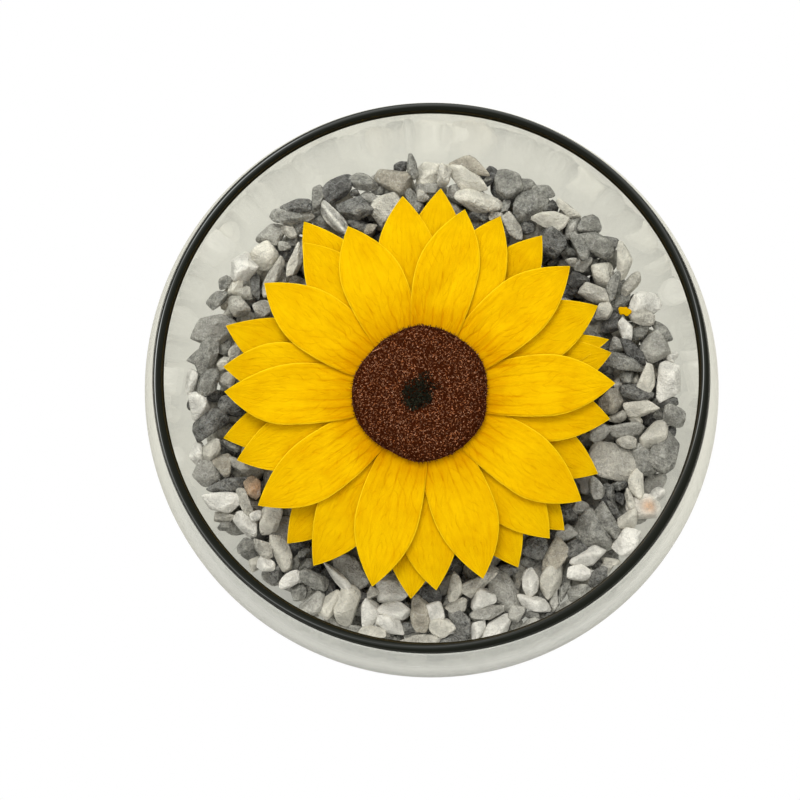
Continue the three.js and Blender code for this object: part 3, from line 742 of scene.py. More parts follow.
# The loose chips: half their length, and from it half their width and half their thickness.
length = random.lognormal(np.log(HALF_LENGTH), HALF_LENGTH_SPREAD, CHIP_COUNT)
length = np.clip(length, SHORTEST_HALF, LONGEST_HALF)
width = length * random.uniform(0.60, 0.90, CHIP_COUNT)
thickness = length * random.uniform(0.45, 0.72, CHIP_COUNT)
loose_axes = np.stack([length, width, thickness], 1)
loose_turns = (
    turns(random.uniform(0, FULL_TURN, CHIP_COUNT), 2)
    @ turns(random.normal(0, 0.45, CHIP_COUNT), 0)
    @ turns(random.uniform(0, FULL_TURN, CHIP_COUNT), 2)
)
start_height = random.uniform(*STARTS_BETWEEN, CHIP_COUNT)
start_room = np.sqrt(ROOM_RADIUS**2 - (BELLY_HEIGHT - start_height) ** 2) - START_CLEARANCE
start_radius = start_room * np.sqrt(random.uniform(0, 1, CHIP_COUNT))
loose_places = around(start_radius, random.uniform(0, FULL_TURN, CHIP_COUNT), start_height)
under_flower = np.hypot(*(loose_places - FLOWER)[:, :2].T) < UNDER_FLOWER_RADIUS
uneven = np.clip(random.normal(0, 0.9, CHIP_COUNT), -2, 2)
loose_lid = np.where(under_flower, LID_UNDER_FLOWER, LID_ELSEWHERE) + uneven
chip_axes = np.concatenate([noted_axes, loose_axes])
chip_turns = np.concatenate([noted_turns, loose_turns])
chip_shape = np.einsum("nij,nj,nkj->nik", chip_turns, chip_axes**2, chip_turns)
chip_starts = np.concatenate([noted_places, loose_places])
chip_lids = np.concatenate([noted_lid, loose_lid])
chip_places = packed(chip_starts, chip_shape, chip_lids, noted, PACKING_ROUNDS)


def unit_ball(subdivisions):
    """The points and triangles of a ball of radius 1, evenly divided."""
    ball = bmesh.new()
    bmesh.ops.create_icosphere(ball, subdivisions=subdivisions, radius=1.0)
    points = np.array([corner.co[:] for corner in ball.verts])
    triangles = np.array([[corner.index for corner in face.verts] for face in ball.faces])
    ball.free()
    return points, triangles


def chips(which, subdivisions):
    """Chips with soft edges. Each is a ball cut by flat planes: along a direction d it reaches
    (sum over its planes of max(d . normal, 0) / distance to the power p) to the power -1/p,
    then it is stretched to its three axes, turned and moved to its place, inside the glass."""
    ball, triangles = unit_ball(subdivisions)
    count = len(which)
    shaping = np.random.default_rng(int(which.sum()))
    level = 1 - 2 * (np.arange(CUTS) + 0.5) / CUTS
    even = around(np.sqrt(1 - level**2), FULL_TURN * np.arange(CUTS) * GOLDEN_TURN, level)
    normals = even[None] + shaping.normal(0, CUT_SCATTER, (count, CUTS, 3))
    normals /= np.sqrt((normals**2).sum(-1, keepdims=True))
    distances = shaping.uniform(DEEPEST_CUT, 1.0, (count, CUTS))
    cosine = np.maximum(np.einsum("vi,nci->nvc", ball, normals), 0)
    power = shaping.uniform(0.6, 1.5, (count, 1, 1)) * EDGE_SOFTNESS
    sums = ((cosine / distances[:, None]) ** power).sum(-1, keepdims=True) + 1e-6
    radius = np.minimum(sums ** (-1 / power), LONGEST_CORNER)
    radius /= radius.mean(1, keepdims=True)
    # Corners lighter and flats a little darker: partly wear, partly a painted highlight on the
    # edges.
    wear_and_highlight = np.clip((radius[..., 0] - 0.97) * 4, -0.6, 1)
    points = ball[None] * radius
    points *= chip_axes[which][:, None]
    points = np.einsum("nij,nvj->nvi", chip_turns[which], points)
    points += chip_places[which][:, None]
    outward = points - [0.0, 0.0, BELLY_HEIGHT]
    distance = np.sqrt((outward**2).sum(-1, keepdims=True))
    inside = np.minimum(distance, INNER_RADIUS - 0.2) / distance
    points = outward * inside + [0.0, 0.0, BELLY_HEIGHT]
    points[..., 2] = np.clip(points[..., 2], BASE_THICKNESS + 0.15, CHIP_HIGHEST)
    faces = triangles[None] + len(ball) * np.arange(count)[:, None, None]
    return points.reshape(-1, 3), faces.reshape(-1, 3), wear_and_highlight


def stone_finish(name, grain_depth, vein_colour, vein_share):
    """Matt stone: a tint for each chip, broken up by sugary grains and by a few soft veins."""
    made = Finish(name, Roughness=0.7, Specular_IOR_Level=0.25)
    tint = made.attribute("tint", "Color")
    place = made.place
    grains = place.noise(1900.0, 1.0, 0.6).step(0.36, 0.66)
    specks = place.noise(1150.0, 2.0, 0.7).step(0.35, 0.68)
    clouds = place.noise(380.0, 3.0, 0.6).step(0.3, 0.72)
    shade = 1.0 + (grains - 0.45) * grain_depth * 0.6
    shade = shade + (specks - 0.5) * grain_depth * 0.7 + (clouds - 0.5) * grain_depth * 1.1
    vein = (place.noise(230.0, 3.0, 0.5) - 0.5).size().step(0.02, 0.0) * vein_share
    made.drive("Base Color", vein.colour(tint.times(shade), vein_colour))
    made.bump(grains * 0.2 + specks * 0.45 + clouds * 1.6, 0.00045, 0.75)
    return made


# Each finish of chip: how strong its grains are, and the colour and strength of its veins.
STONE_FINISHES = {
    "white": (0.14, (0.36, 0.36, 0.33), 0.35),
    "pale": (0.32, (0.6, 0.59, 0.54), 0.4),
    "grey": (0.5, (0.45, 0.45, 0.42), 0.4),
    "slate": (0.75, (0.34, 0.35, 0.34), 0.4),
}
# Each tint: its finish, its colour, and its share among the chips that weren't noted.
STONE_TINTS = {
    "white": ("white", (0.66, 0.64, 0.575), 0.12),
    "cream": ("white", (0.56, 0.535, 0.455), 0.12),
    "rusty white": ("white", (0.7, 0.67, 0.59), 0.0),
    "pale": ("pale", (0.43, 0.41, 0.35), 0.12),
    "pale grey": ("pale", (0.33, 0.32, 0.28), 0.15),
    "banded": ("pale", (0.36, 0.35, 0.31), 0.0),
    "tan": ("pale", (0.35, 0.32, 0.255), 0.06),
    "rusty": ("pale", (0.38, 0.29, 0.2), 0.0),
    "grey": ("grey", (0.24, 0.235, 0.205), 0.2),
    "slate": ("slate", (0.152, 0.149, 0.133), 0.15),
    "dark": ("slate", (0.096, 0.094, 0.086), 0.08),
}
# How much lighter the corners are: partly wear, partly a painted highlight.
EDGE_WEAR_AND_HIGHLIGHT = 0.22
STRIPE_TURNS = 2.6
STRIPE_SHARE = 0.9
STAIN_AT = [1.2, 0.8, 2.0]
STAIN_COLOUR = np.array([0.72, 0.4, 0.2])
STAIN_SHARE = 0.75
STAIN_REACH = 5.0
# A loose chip near the top of the heap is painted darker within this radius of the flower's
# axis: painted shade, for chips seen in crevices under the top layer and the flower.
SHADED_ABOVE = 38.0
SHADED_WITHIN = 68.0
SHADED_SHARE = 0.72
# Above this height and beyond this radius a loose chip shows, so its mesh is finer.
SHOWS_ABOVE = 39.0
SHOWS_BEYOND = 46.0

tint_names = np.array(list(STONE_TINTS))
tint_finish, tint_colour, tint_share = (np.array(row) for row in zip(*STONE_TINTS.values()))
loose_tints = random.choice(len(tint_names), CHIP_COUNT, p=tint_share / tint_share.sum())
noted_tints = [list(STONE_TINTS).index(chip[6]) for chip in NOTED_CHIPS]
chip_tint = np.concatenate([noted_tints, loose_tints])
chip_colour = tint_colour[chip_tint] * random.normal(1, 0.07, (noted + CHIP_COUNT, 1))
chip_tops = chip_places[:, 2] + np.sqrt(chip_shape[:, 2, 2])
is_noted = np.arange(noted + CHIP_COUNT) < noted
from_flower = np.hypot(*(chip_places - FLOWER)[:, :2].T)
shaded = (chip_tops > SHADED_ABOVE) & (from_flower < SHADED_WITHIN) & ~is_noted
chip_colour[shaded] *= SHADED_SHARE
shows = (chip_tops > SHOWS_ABOVE) & (from_flower > SHOWS_BEYOND) & ~is_noted


def chip_tints(which, points, wear_and_highlight):
    """The tint of each point. Edges are lighter and flats a little darker, partly from wear and
    partly as a painted highlight; a banded chip has pale stripes along it, and a rusty one has an
    orange stain round one place on its top."""
    points = points.reshape(*wear_and_highlight.shape, 3)
    colour = chip_colour[which][:, None] * (1 + EDGE_WEAR_AND_HIGHLIGHT * wear_and_highlight[..., None])
    local = np.einsum("nji,nvj->nvi", chip_turns[which], points - chip_places[which][:, None])
    stripe = np.clip(np.cos(local[..., 1] * STRIPE_TURNS + 0.4) * 1.5, 0, 1)[..., None]
    name = tint_names[chip_tint[which]][:, None, None]
    colour = np.where(name == "banded", colour * (1 + STRIPE_SHARE * stripe), colour)
    from_stain = ((local - STAIN_AT) ** 2).sum(-1, keepdims=True)
    stain = STAIN_SHARE * np.exp(-from_stain / STAIN_REACH)
    stained = colour * (1 - stain) + stain * STAIN_COLOUR
    colour = np.where(np.isin(name, ["rusty", "rusty white"]), stained, colour)
    return np.concatenate([colour, np.ones((*colour.shape[:2], 1))], -1).reshape(-1, 4)


# The chips that show most have the finest meshes.
layers = {"top": (is_noted, 4), "next": (shows, 3), "heap": (~(is_noted | shows), 2)}
for kind, look in STONE_FINISHES.items():
    finish = stone_finish(kind + " marble", *look)
    of_kind = tint_finish[chip_tint] == kind
    for layer, (chosen, subdivisions) in layers.items():
        which = np.flatnonzero(of_kind & chosen)
        points, triangles, wear_and_highlight = chips(which, subdivisions)
        name = f"gravel_{kind}_{layer}"
        piece = new_piece(name, points, triangles, [finish], "gravel", "marble")
        store(piece, "tint", chip_tints(which, points, wear_and_highlight))

# ---- Back of the flower head ----
# The green receptacle that the petals grow from, its two rows of pointed bracts and the short
# cut stem, which stands in the chippings and holds the head level.

RECEPTACLE_RADIUS = 15.0
RECEPTACLE_TOP = 55.9
STEM_FOOT = 22.0
BRACT_LENGTH = 21.0
BRACT_WIDTH = 8.5
BRACT_THICKNESS = 0.7
BRACTS_IN_ROW = 9
BRACT_ROW_HEIGHTS = [54.6, 53.3]


def half_width(along, width, root_share, waist):
    """Half a blade's width: root_share of it at the root, all at the waist, none at the tip."""
    before = 1 - (1 - root_share) * (1 - along / waist) ** 2
    after = 1 - ((along - waist) / (1 - waist)) ** 2
    return width / 2 * np.where(along < waist, before, np.maximum(after, 0))


def blades(out, sideways, height, thickness, bearing):
    """Thin closed blades, shaped (blades, stations, across). Each station is a ring that runs
    over the blade's upper face and back under it, and the blade is turned to its bearing."""
    upper = around(out, bearing, height, sideways)
    lower = upper - [0.0, 0.0, thickness]
    return np.concatenate([upper[:, :, ::-1], lower], 2) + FLOWER


green = Finish("green bracts", Roughness=0.8, Specular_IOR_Level=0.25)
green_clouds = green.place.noise(600.0, 3.0, 0.6).step(0.3, 0.7)
green.drive("Base Color", green_clouds.colour((0.06, 0.1, 0.025), (0.16, 0.22, 0.07)))
green.bump(green.place.noise(1800.0, 3.0, 0.6), 0.0002)

# The stem and the receptacle, as [radius, height] from the stem's cut end to the top.
head_profile = np.array(
    [
        [0.0, STEM_FOOT],
        [STEM_RADIUS - 0.4, STEM_FOOT],
        [STEM_RADIUS, STEM_FOOT + 0.4],
        [STEM_RADIUS, 49.0],
        [STEM_RADIUS + 0.8, 50.3],
        [STEM_RADIUS + 3, 51.3],
        [RECEPTACLE_RADIUS - 4, 52.1],
        [RECEPTACLE_RADIUS - 1, 53.2],
        [RECEPTACLE_RADIUS, 54.4],
        [RECEPTACLE_RADIUS - 0.2, 55.4],
        [RECEPTACLE_RADIUS - 0.8, RECEPTACLE_TOP],
        [0.0, RECEPTACLE_TOP],
    ]
)
head_points, head_triangles = turned(head_profile, 48)
bract_turn = FULL_TURN * np.arange(BRACTS_IN_ROW) / BRACTS_IN_ROW
half_step = FULL_TURN / (2 * BRACTS_IN_ROW)
bract_bearing = np.concatenate([bract_turn, bract_turn + half_step])[:, None, None]
bract_height = np.repeat(BRACT_ROW_HEIGHTS, BRACTS_IN_ROW)[:, None, None]
along = np.linspace(0, 1, 20)[None, :, None]
across = np.linspace(-1, 1, 9)[None, None]
bract_rings = blades(
    RECEPTACLE_RADIUS - 4 + BRACT_LENGTH * along,
    across * half_width(along, BRACT_WIDTH, 0.7, 0.35),
    bract_height - 0.6 * along**2 + 0.3 * across**2 * (1 - along),
    BRACT_THICKNESS,
    bract_bearing,
)
back = joined((head_points + FLOWER, head_triangles), skins(bract_rings))
new_piece("flower_back", *back, [green], "flower_back", "green_stem")

# ---- Ray petals ----
# Three rows of satin yellow petals, dried flat. Fine veins fan out from the root and branch, the
# root is a little crumpled and deeper in colour, partly its own and partly painted shade, and the
# thin edge has a painted highlight. The lower rows are painted a little darker, as painted shade.
# The roots of a row grow together.

PETAL_ROOT = 15.0
PETAL_WIDTH = 20.4
PETAL_THICKNESS = 0.35
PETAL_WAIST = 0.53
PETAL_LEAN = 0.035
PETAL_STATIONS = 46
PETAL_ACROSS = 25
TIP_CROWDING = 1.15
# The height of a petal's slow and of its quick waves; their number, shortest and longest length.
SLOW_HEIGHT = 0.3
SLOW_WAVES = (7, 16, 34)
QUICK_HEIGHT = 0.1
QUICK_WAVES = (9, 5, 11)
# The folds at its root: where along the petal, and how far they reach from there.
FOLD_HEIGHT = 0.2
FOLDS_ACROSS = 12.5
FOLDS_AT = 0.2
FOLDS_REACH = 0.14
COLLAR_INNER_RADIUS = 8.0
COLLAR_OUTER_RADIUS = 19.0
COLLAR_THICKNESS = 1.0
COLLAR_SIDES = 48

# Each petal: bearing in degrees from +X, reach of its tip from the flower's axis, how far the
# tip swings sideways, its width as a share of the usual, and which edge rides up, + or -.
INNER_PETALS = [
    (113, 60.4, 1.6, 1.0, 0.3),
    (76.5, 62.6, -3, 1.0, 0.4),
    (40.6, 64.2, 0, 1.0, -0.8),
    (3, 62.9, -1.6, 1.0, -0.8),
    (-34, 62.1, -1.2, 1.0, -0.5),
    (-71.5, 62.7, -5, 1.0, 0.4),
    (-104, 63.8, 2.6, 1.0, 0.5),
    (-145.5, 63.4, -3.6, 1.0, 0.3),
    (179, 63.5, -2.6, 1.0, 0.8),
    (144.1, 62.8, -2.6, 1.0, 0.8),
]
MIDDLE_PETALS = [
    (95, 66.3, 0, 1.0, 0.3),
    (66, 64.6, 1, 1.0, -0.4),
    (26.7, 64.6, -1, 1.0, 0.4),
    (-7.5, 61.6, 1, 1.0, -0.4),
    (-48.4, 62.2, -1, 1.0, 0.4),
    (-85.5, 63.2, 0, 1.0, 0.3),
    (-122, 65, 1, 1.0, -0.3),
    (-160.5, 63, -1, 1.0, 0.4),
    (171.5, 64.9, 1, 1.0, -0.4),
    (127, 63.5, -1, 1.0, 0.4),
]
OUTER_PETALS = [
    (84.4, 69.3, 0, 1.0, 0.2),
    (53, 66.3, 1, 1.0, -0.4),
    (16.6, 64.0, -1, 0.62, 0.4),
    (12.6, 63.6, 1, 0.95, -0.4),
    (-24.1, 62.6, 0, 1.0, 0.3),
    (-43.5, 63.6, 1, 1.0, -0.3),
    (-60.7, 63.8, -1, 1.0, 0.4),
    (-92.8, 65.7, 0, 1.0, 0.3),
    (-132, 64.4, 1, 1.0, -0.4),
    (-168, 65.5, -1, 1.0, 0.4),
    (159.8, 67.9, 0, 1.0, 0.3),
    (123.4, 69.7, 1, 1.0, -0.4),
]


def waves(place, seed, count, shortest, longest):
    """Smooth noise from -1 to 1: a sum of sine waves of random direction, length and phase."""
    draw = np.random.default_rng(seed)
    heading = draw.uniform(0, FULL_TURN, count)
    wave = FULL_TURN / draw.uniform(shortest, longest, count)
    phase = draw.uniform(0, FULL_TURN, count)
    total = 0.0
    for a, k, p in zip(heading, wave, phase):
        total = total + np.sin(k * (place[0] * np.cos(a) + place[1] * np.sin(a)) + p)
    return total / np.sqrt(count * 2)


def collar_ring(underside):
    """The flat ring under the disc that the roots of a row of petals grow together into."""
    radius = [COLLAR_INNER_RADIUS, COLLAR_OUTER_RADIUS, COLLAR_OUTER_RADIUS, COLLAR_INNER_RADIUS]
    height = underside + COLLAR_THICKNESS * np.array([0, 0, 1, 1])
    turn = FULL_TURN * np.arange(COLLAR_SIDES)[:, None] / COLLAR_SIDES
    points = around(np.array(radius), turn, height).reshape(-1, 3)
    return points + FLOWER, grid_triangles(COLLAR_SIDES + 1, 4, wrap=True) % len(points)


def petal_row(name, table, collar, arch, drop, cup, finish, slot, seed):
    """One row of petals with the collar that their roots form under the disc. A petal's height
    is its arch and its droop, its cupped and its riding edge, slow waves, and folds at the root."""
    bearing, reach_out, swing, width, ride = np.array(table, float).T[:, :, None, None]
    number = np.arange(len(table))[:, None, None]
    own = 100.0 * number
    draw = np.random.default_rng(seed)
    along = (1 - (1 - np.linspace(0, 1, PETAL_STATIONS)) ** TIP_CROWDING)[None, :, None]
    across = np.linspace(-1, 1, PETAL_ACROSS)[None, None]
    lean = draw.normal(0, PETAL_LEAN, number.shape)
    half = half_width(along, PETAL_WIDTH * width, 0.6, PETAL_WAIST + lean * np.sign(across))
    length = reach_out - PETAL_ROOT
    x = PETAL_ROOT + length * along
    y = across * half + swing * (along**2 - along)
    swell = np.sin(np.pi * along) ** 2
    open_part = np.clip((along - 0.16) / 0.25, 0, 1)
    z = collar + 0.9 + arch * swell - drop * along**2
    z = z + cup * across**2 * swell
    z = z + ride * across * 0.8 * np.sin(np.pi * along)
    z = z + SLOW_HEIGHT * open_part * waves((x + own, y * 1.3), seed, *SLOW_WAVES)
    z = z + QUICK_HEIGHT * open_part * waves((x + own, y), seed + 1, *QUICK_WAVES)
    folds = np.cos(across * FOLDS_ACROSS + 0.9 * np.sin(own))
    z = z + FOLD_HEIGHT * folds * np.exp(-(((along - FOLDS_AT) / FOLDS_REACH) ** 2))
    petals = skins(blades(x, y, z, PETAL_THICKNESS, np.radians(bearing)))
    ring = collar_ring(collar)
    piece = new_piece(name, *joined(petals, ring), [finish], name, slot)
    edge = np.minimum((1 - np.abs(across)) * half, (1 - along) * length * 0.6)
    kept = {"along": along, "across": across, "edge": edge, "own": number * 0.37}
    for key, values in kept.items():
        values = values + 0 * half
        on_petals = on_skins(np.concatenate([values[:, :, ::-1], values], 2))
        store(piece, key, np.concatenate([on_petals, np.zeros(len(ring[0]))]))


def petal_finish(name, light, dark, edge_highlight_colour):
    """Satin petal: clouds of deeper yellow, veins from the root to the tip, side branches that
    leave them outwards, fine fibres, a deeper root, partly its own colour and partly painted shade
    near the disc, and a pale edge that is a painted highlight."""
    made = Finish(name, Roughness=0.65, Specular_IOR_Level=0.0)
    along = made.attribute("along")
    across = made.attribute("across")
    own = made.attribute("own")
    place = made.place
    sway = place.noise(150.0, 1.0, 0.5) - 0.5
    lane = across * 2.9 + sway * 0.8 + own * 3.0 + 40.0
    main = lane.lines(0.02, 0.13)
    slope = along * 8.0 - across.size() * 4.0 + sway * 2.4 + own * 7.0 + 40.0
    branch = slope.lines(0.02, 0.12)
    present = place.noise(300.0, 2.0, 0.5).step(0.4, 0.62)
    elsewhere = place.noise(240.0, 2.0, 0.5).step(0.62, 0.42)
    near_root = along.step(0.62, 0.2)
    near_tip = along.step(0.98, 0.75)
    veins = main * (0.11 + near_root * 0.2) * (0.4 + elsewhere * 0.6)
    veins = (veins + branch * present * 0.22) * near_tip
    clouds = place.noise(95.0, 3.0, 0.55).step(0.32, 0.72)
    patches = place.noise(330.0, 3.0, 0.6).step(0.35, 0.75)
    fibre_place = {0: across * 3.0 + own * 9.0, 1: along * 1.6, 2: own * 5.0}
    streaks = place.node("CombineXYZ", {}, fibre_place).noise(3.0, 4.0, 0.6).step(0.35, 0.7)
    # The root, and more faintly the inner part of the petal, is deeper in colour: partly the
    # petal's own colour, partly painted shade near the disc.
    root = along.step(0.42, 0.12)
    deeper_and_shaded = veins + clouds * 0.28 + patches * 0.12 + streaks * 0.16 + root * 0.5
    deeper_and_shaded = deeper_and_shaded + along.step(0.85, 0.35) * 0.08
    # Painted highlight: the thin edge is paler, fading out towards the root.
    edge = made.attribute("edge").step(0.42, 0.12) * along.step(0.05, 0.5)
    made.drive("Base Color", (edge * 0.8).colour(deeper_and_shaded.colour(light, dark), edge_highlight_colour))
    crumple = place.noise(520.0, 2.0, 0.5) * near_root
    sunken = main * (0.12 + near_root * 0.25) + branch * present * 0.25
    made.bump(clouds * 0.6 + streaks * 0.35 + crumple * 0.5 - sunken, 0.0004, 0.7)
    return made


# Each row from underneath: its petals; the height of its collar, and how far its petals arch,
# droop and cup; the seed of its waves; its light, its deep and its edge colour, the last a painted
# highlight. The lower rows are painted a little darker, as painted shade under the rows above.
PETAL_ROWS = {
    "outer": (
        OUTER_PETALS, (58.2, 0.1, 3.0, 0.5), 31,
        ((0.78, 0.475, 0.0015), (0.555, 0.235, 0.0), (0.96, 0.63, 0.012)),
    ),
    "middle": (
        MIDDLE_PETALS, (59.3, 0.8, 2.0, 0.3), 32,
        ((0.8, 0.485, 0.0015), (0.565, 0.24, 0.0), (0.98, 0.65, 0.012)),
    ),
    "inner": (
        INNER_PETALS, (60.1, 1.0, 0.8, 0.3), 33,
        ((0.82, 0.495, 0.0015), (0.575, 0.245, 0.0), (1.0, 0.67, 0.012)),
    ),
}
yellow = {}
for row, (table, form, seed, colours) in PETAL_ROWS.items():
    yellow[row] = petal_finish(row + " petals", *colours)
    petal_row(row + "_petals", table, *form, yellow[row], row + "_yellow", seed)

# ---- Disc florets ----
# The brown cushion in the middle: thousands of dry, curled florets on a low dome, each a little
# lighter at its bent tip, partly its own colour and partly a painted highlight, with a dark fringe
# where they meet the petals, partly their own brown and partly painted shade.

DISC_RADIUS = 21.7
DISC_UNDERSIDE = 61.2
DISC_TOP = 66.4
FLORET_COUNT = 5400
FRINGE_COUNT = 760
CURL_RINGS = 4
CURL_SIDES = 4
DOME_FALL = 0.4
EDGE_FALL = 3.6
EDGE_ROLLS_FROM = 0.62
DENSE_LOBE_RADIUS = 3.2
DARK_SPOT_RADIUS = 1.1
# Two small spots, where the florets are darker.
DARK_SPOTS = [(-6.2, 17.0), (-11.8, -16.4)]
# Three stray fibres, from their roots to their tips.
FIBRE_FROM = np.array([[-15.35, 13.16], [9.89, -13.42], [11.5, -17.2]])
FIBRE_TO = np.array([[-11.83, 14.77], [9.88, -15.35], [12.1, -16.2]])
# The cushion's outline is a little uneven: bearing in degrees and radius there.
DISC_OUTLINE = [
    (-174, 22.0), (-159, 22.1), (-131, 21.4), (-117, 21.0), (-92, 22.3), (-72, 22.1),
    (-44, 22.0), (-23, 22.3), (-5, 21.3), (28, 22.4), (54, 21.8), (93, 22.1),
    (111, 21.1), (143, 20.8), (165, 21.9),
]
# The dark knot and its lobes: middle from the flower's axis, radius and number of florets.
KNOT_LOBES = [
    (-1.2, -0.9, 4.6, 490),
    (1.8, 4.9, 2.0, 38),
    (0.4, 3.4, 1.7, 22),
    (4.8, 2.0, 1.6, 22),
    (3.3, 1.2, 1.5, 14),
    (1.8, -2.6, 2.4, 60),
    (-2.2, -4.6, 2.3, 60),
]


def dome_height(radius):
    """The disc's height: flat in the middle, rolling off towards its edge."""
    share = np.clip(radius / DISC_RADIUS, 0, 1)
    rolled = np.clip((share - EDGE_ROLLS_FROM) / (1 - EDGE_ROLLS_FROM), 0, 1)
    return DISC_TOP - DOME_FALL * share**2 - EDGE_FALL * rolled**2.4


def outline_share(angle):
    """The outline's radius at this angle, as a share of DISC_RADIUS."""
    bearing, radius = np.array(DISC_OUTLINE).T
    return np.interp(np.degrees(angle), bearing, radius, period=360) / DISC_RADIUS


def curls(roots, heading, length, lift, thickness):
    """Bent, tapering horns: each leaves its root upwards and bends over towards its heading."""
    along = np.linspace(0, 1, CURL_RINGS)[None, :, None]
    bend = along * length[:, None, None]
    forward = bend * (0.25 + 0.75 * along)
    up = lift[:, None, None] * np.sin(np.minimum(along * 2.2, 2.4))
    radius = thickness[:, None, None] * (1 - 0.65 * along**2)
    turn = FULL_TURN * np.arange(CURL_SIDES)[None, None] / CURL_SIDES
    out = forward + radius * np.cos(turn) * 0.6
    height = up + radius * np.cos(turn) * 0.8
    points = around(out, heading[:, None, None], height, radius * np.sin(turn))
    return points + roots[:, None, None]


def curl_tones(bright):
    """The tone of every point of each curl: a fifth of its brightness at the root, all of it
    at the tip. This is partly the floret's own colour, and partly painted shade at the root and a
    painted highlight on the tip."""
    rings = bright[:, None] * (0.2 + 0.8 * np.linspace(0, 1, CURL_RINGS))
    return on_skins(np.repeat(rings[:, :, None], CURL_SIDES, 2))


def spiral(count, radius):
    """Points spread evenly over a circle, in the spiral order that florets grow in."""
    number = np.arange(count)
    out = radius * np.sqrt((number + 0.5) / count)
    return around(out, number * np.pi * (3 - np.sqrt(5)), 0)[:, :2]


rounded = [DISC_RADIUS - 2.6, DISC_RADIUS - 0.6]
dome_radius = np.concatenate([rounded, np.linspace(DISC_RADIUS, 0, 26)])
dome_level = np.concatenate([[DISC_UNDERSIDE, DISC_UNDERSIDE + 0.5], dome_height(dome_radius[2:])])
dome_profile = np.concatenate([[[0, DISC_UNDERSIDE]], np.stack([dome_radius, dome_level], 1)])
dome_points, dome_triangles = turned(dome_profile, 96)
dome_points[:, :2] *= outline_share(np.arctan2(dome_points[:, 1], dome_points[:, 0]))[:, None]

random = np.random.default_rng(41)
floret_at = spiral(FLORET_COUNT, DISC_RADIUS - 0.2) + random.normal(0, 0.12, (FLORET_COUNT, 2))
in_knot = np.zeros(FLORET_COUNT, bool)
for lobe_x, lobe_y, lobe_radius, _ in KNOT_LOBES:
    from_lobe = np.hypot(*(floret_at - [lobe_x, lobe_y]).T)
    dense = random.uniform(0, 1, FLORET_COUNT) < lobe_radius / DENSE_LOBE_RADIUS
    in_knot |= dense & (from_lobe + random.normal(0, 0.6, FLORET_COUNT) < lobe_radius - 0.2)
floret_at = floret_at[~in_knot]
florets = len(floret_at)
floret_radius = np.hypot(*floret_at.T)
floret_at *= outline_share(np.arctan2(floret_at[:, 1], floret_at[:, 0]))[:, None]
floret_heading = random.uniform(0, FULL_TURN, florets)
floret_length = random.uniform(0.4, 0.85, florets)
floret_lift = random.uniform(0.3, 0.85, florets)
floret_thickness = random.uniform(0.11, 0.17, florets)
floret_bright = 1.2 * random.beta(0.7, 1.8, florets)
# Painted shade: florets near the rolled edge are darker.
floret_bright *= 1 - 0.55 * np.clip((floret_radius - 19.4) / 2.2, 0, 1)
for spot in DARK_SPOTS:
    from_spot = np.hypot(*(floret_at - spot).T)
    floret_bright *= 1 - 0.9 * np.exp(-((from_spot / DARK_SPOT_RADIUS) ** 2))

# The fringe florets are dark, partly their own brown and partly painted shade where the disc meets
# the petals.
fringe_angle = random.uniform(0, FULL_TURN, FRINGE_COUNT)
fringe_out = (DISC_RADIUS - random.uniform(0.3, 1.0, FRINGE_COUNT)) * outline_share(fringe_angle)
fringe_level = random.uniform(62.2, 63.4, FRINGE_COUNT)
fringe_heading = fringe_angle + random.normal(0, 0.5, FRINGE_COUNT)
fringe_length = random.uniform(0.5, 1.3, FRINGE_COUNT)
fringe_lift = random.uniform(0.1, 0.5, FRINGE_COUNT)
fringe_thickness = random.uniform(0.07, 0.14, FRINGE_COUNT)
fringe_bright = random.uniform(0, 0.16, FRINGE_COUNT)

fibre_level = dome_height(np.hypot(*FIBRE_FROM.T)) + 0.5
fibre_way = FIBRE_TO - FIBRE_FROM
fibre_heading = np.arctan2(fibre_way[:, 1], fibre_way[:, 0])

floret_roots = np.column_stack([floret_at, dome_height(floret_radius) - 0.15])
fringe_roots = around(fringe_out, fringe_angle, fringe_level)
fibre_roots = np.column_stack([FIBRE_FROM, fibre_level])
floret_rings = curls(
    np.concatenate([floret_roots, fringe_roots, fibre_roots]) + FLOWER,
    np.concatenate([floret_heading, fringe_heading, fibre_heading]),
    np.concatenate([floret_length, fringe_length, np.hypot(*fibre_way.T)]),
    np.concatenate([floret_lift, fringe_lift, [0.5, 0.4, 0.4]]),
    np.concatenate([floret_thickness, fringe_thickness, [0.1, 0.09, 0.08]]),
)
curl_bright = np.concatenate([floret_bright, fringe_bright, [1.6, 1.5, 1.5]])

brown = Finish("brown florets", Roughness=0.8, Specular_IOR_Level=0.0)
tone = brown.attribute("tone")
dusty = brown.place.noise(2200.0, 1.0, 0.5)
brown_light = dusty.step(0.35, 0.7).colour((0.85, 0.26, 0.075), (1.0, 0.59, 0.38))
brown.drive("Base Color", tone.colour((0.045, 0.009, 0.002), brown_light))
cushion = joined((dome_points + FLOWER, dome_triangles), skins(floret_rings))
disc = new_piece("disc_florets", *cushion, [brown], "disc_florets", "brown_florets")
store(disc, "tone", np.concatenate([np.zeros(len(dome_points)), curl_tones(curl_bright)]))

# ---- Disc centre ----
# The tight knot of unopened florets in the middle of the cushion, dry and green-black. It grows
# from the same receptacle as the brown florets, and a few small lobes reach out among them.

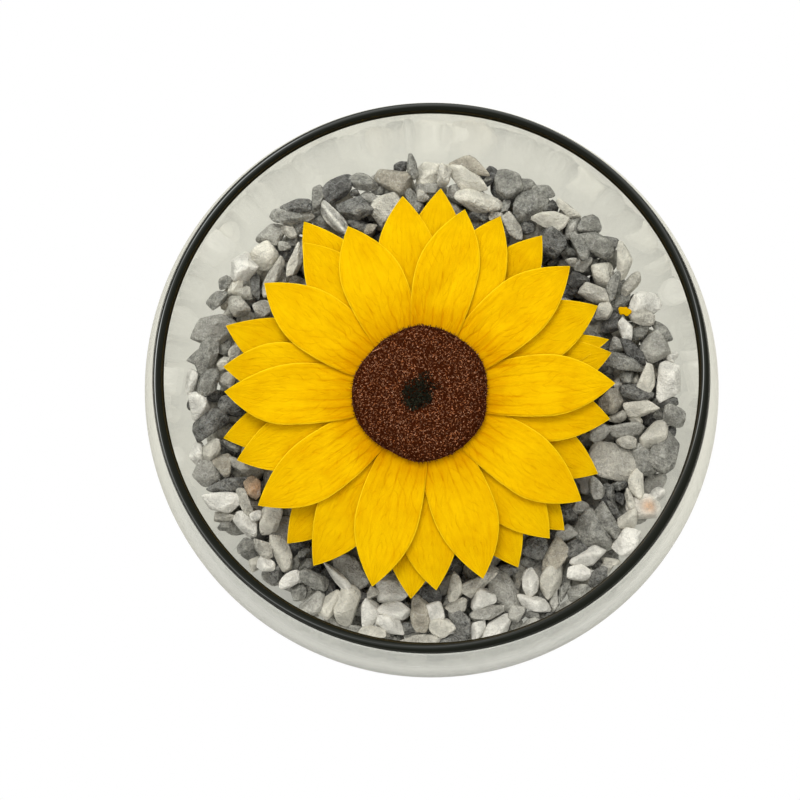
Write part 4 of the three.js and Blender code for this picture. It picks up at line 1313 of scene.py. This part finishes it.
random = np.random.default_rng(47)
lobes = [spiral(count, radius) + [x, y] for x, y, radius, count in KNOT_LOBES]
knot_at = np.concatenate(lobes)
knot_at += random.normal(0, 0.42, knot_at.shape)
knot_count = len(knot_at)
knot_level = dome_height(np.hypot(*knot_at.T)) - 0.1
knot_rings = curls(
    np.column_stack([knot_at, knot_level]) + FLOWER,
    random.uniform(0, FULL_TURN, knot_count),
    random.uniform(0.3, 0.7, knot_count),
    random.uniform(0.5, 0.85, knot_count),
    random.uniform(0.17, 0.26, knot_count),
)
dark_green = Finish("dark florets", Roughness=0.8, Specular_IOR_Level=0.03)
dark_tone = dark_green.attribute("tone")
dark_green.drive("Base Color", dark_tone.colour((0.002, 0.0025, 0.0012), (0.075, 0.078, 0.048)))
centre = new_piece(
    "disc_centre", *skins(knot_rings), [dark_green], "disc_centre", "dark_florets"
)
store(centre, "tone", curl_tones(random.beta(1.0, 2.5, knot_count)))

# ---- Fallen scrap of petal ----
# A torn corner of a petal, thin and dry, that has dropped between two chippings on the right
# and lies there loose, tilted and a little curled.

SCRAP_AT = np.array([63.5, 29.4, 49.2])
SCRAP_RADIUS = 1.75
SCRAP_SIDES = 18
SCRAP_TILT = 0.16
SCRAP_CURL = 0.05

scrap_turn = FULL_TURN * np.arange(SCRAP_SIDES) / SCRAP_SIDES
torn = 0.45 * np.cos(2 * scrap_turn + 0.6) + 0.25 * np.cos(5 * scrap_turn)
# Each ring from the underside's middle over the edge to the top's: its share, and its height.
ring_share = np.array([0.02, 0.5, 0.96, 1.0, 1.0, 0.96, 0.5, 0.02])[:, None]
ring_height = np.array([0, 0, 0, 0.08, 0.22, 0.3, 0.3, 0.3])[:, None]
scrap_rings = around(ring_share * (SCRAP_RADIUS + torn), scrap_turn, ring_height)
towards_right = scrap_rings[..., 0]
scrap_rings[..., 2] += SCRAP_TILT * towards_right - SCRAP_CURL * towards_right**2
scrap_mesh = skins(scrap_rings[None] + SCRAP_AT)
scrap = new_piece("petal_scrap", *scrap_mesh, [yellow["outer"]], "outer_petals", "outer_yellow")
for key, value in (("along", 0.6), ("across", 0.2), ("edge", 2.0), ("own", 1.3)):
    store(scrap, key, np.full(len(scrap_mesh[0]), value))
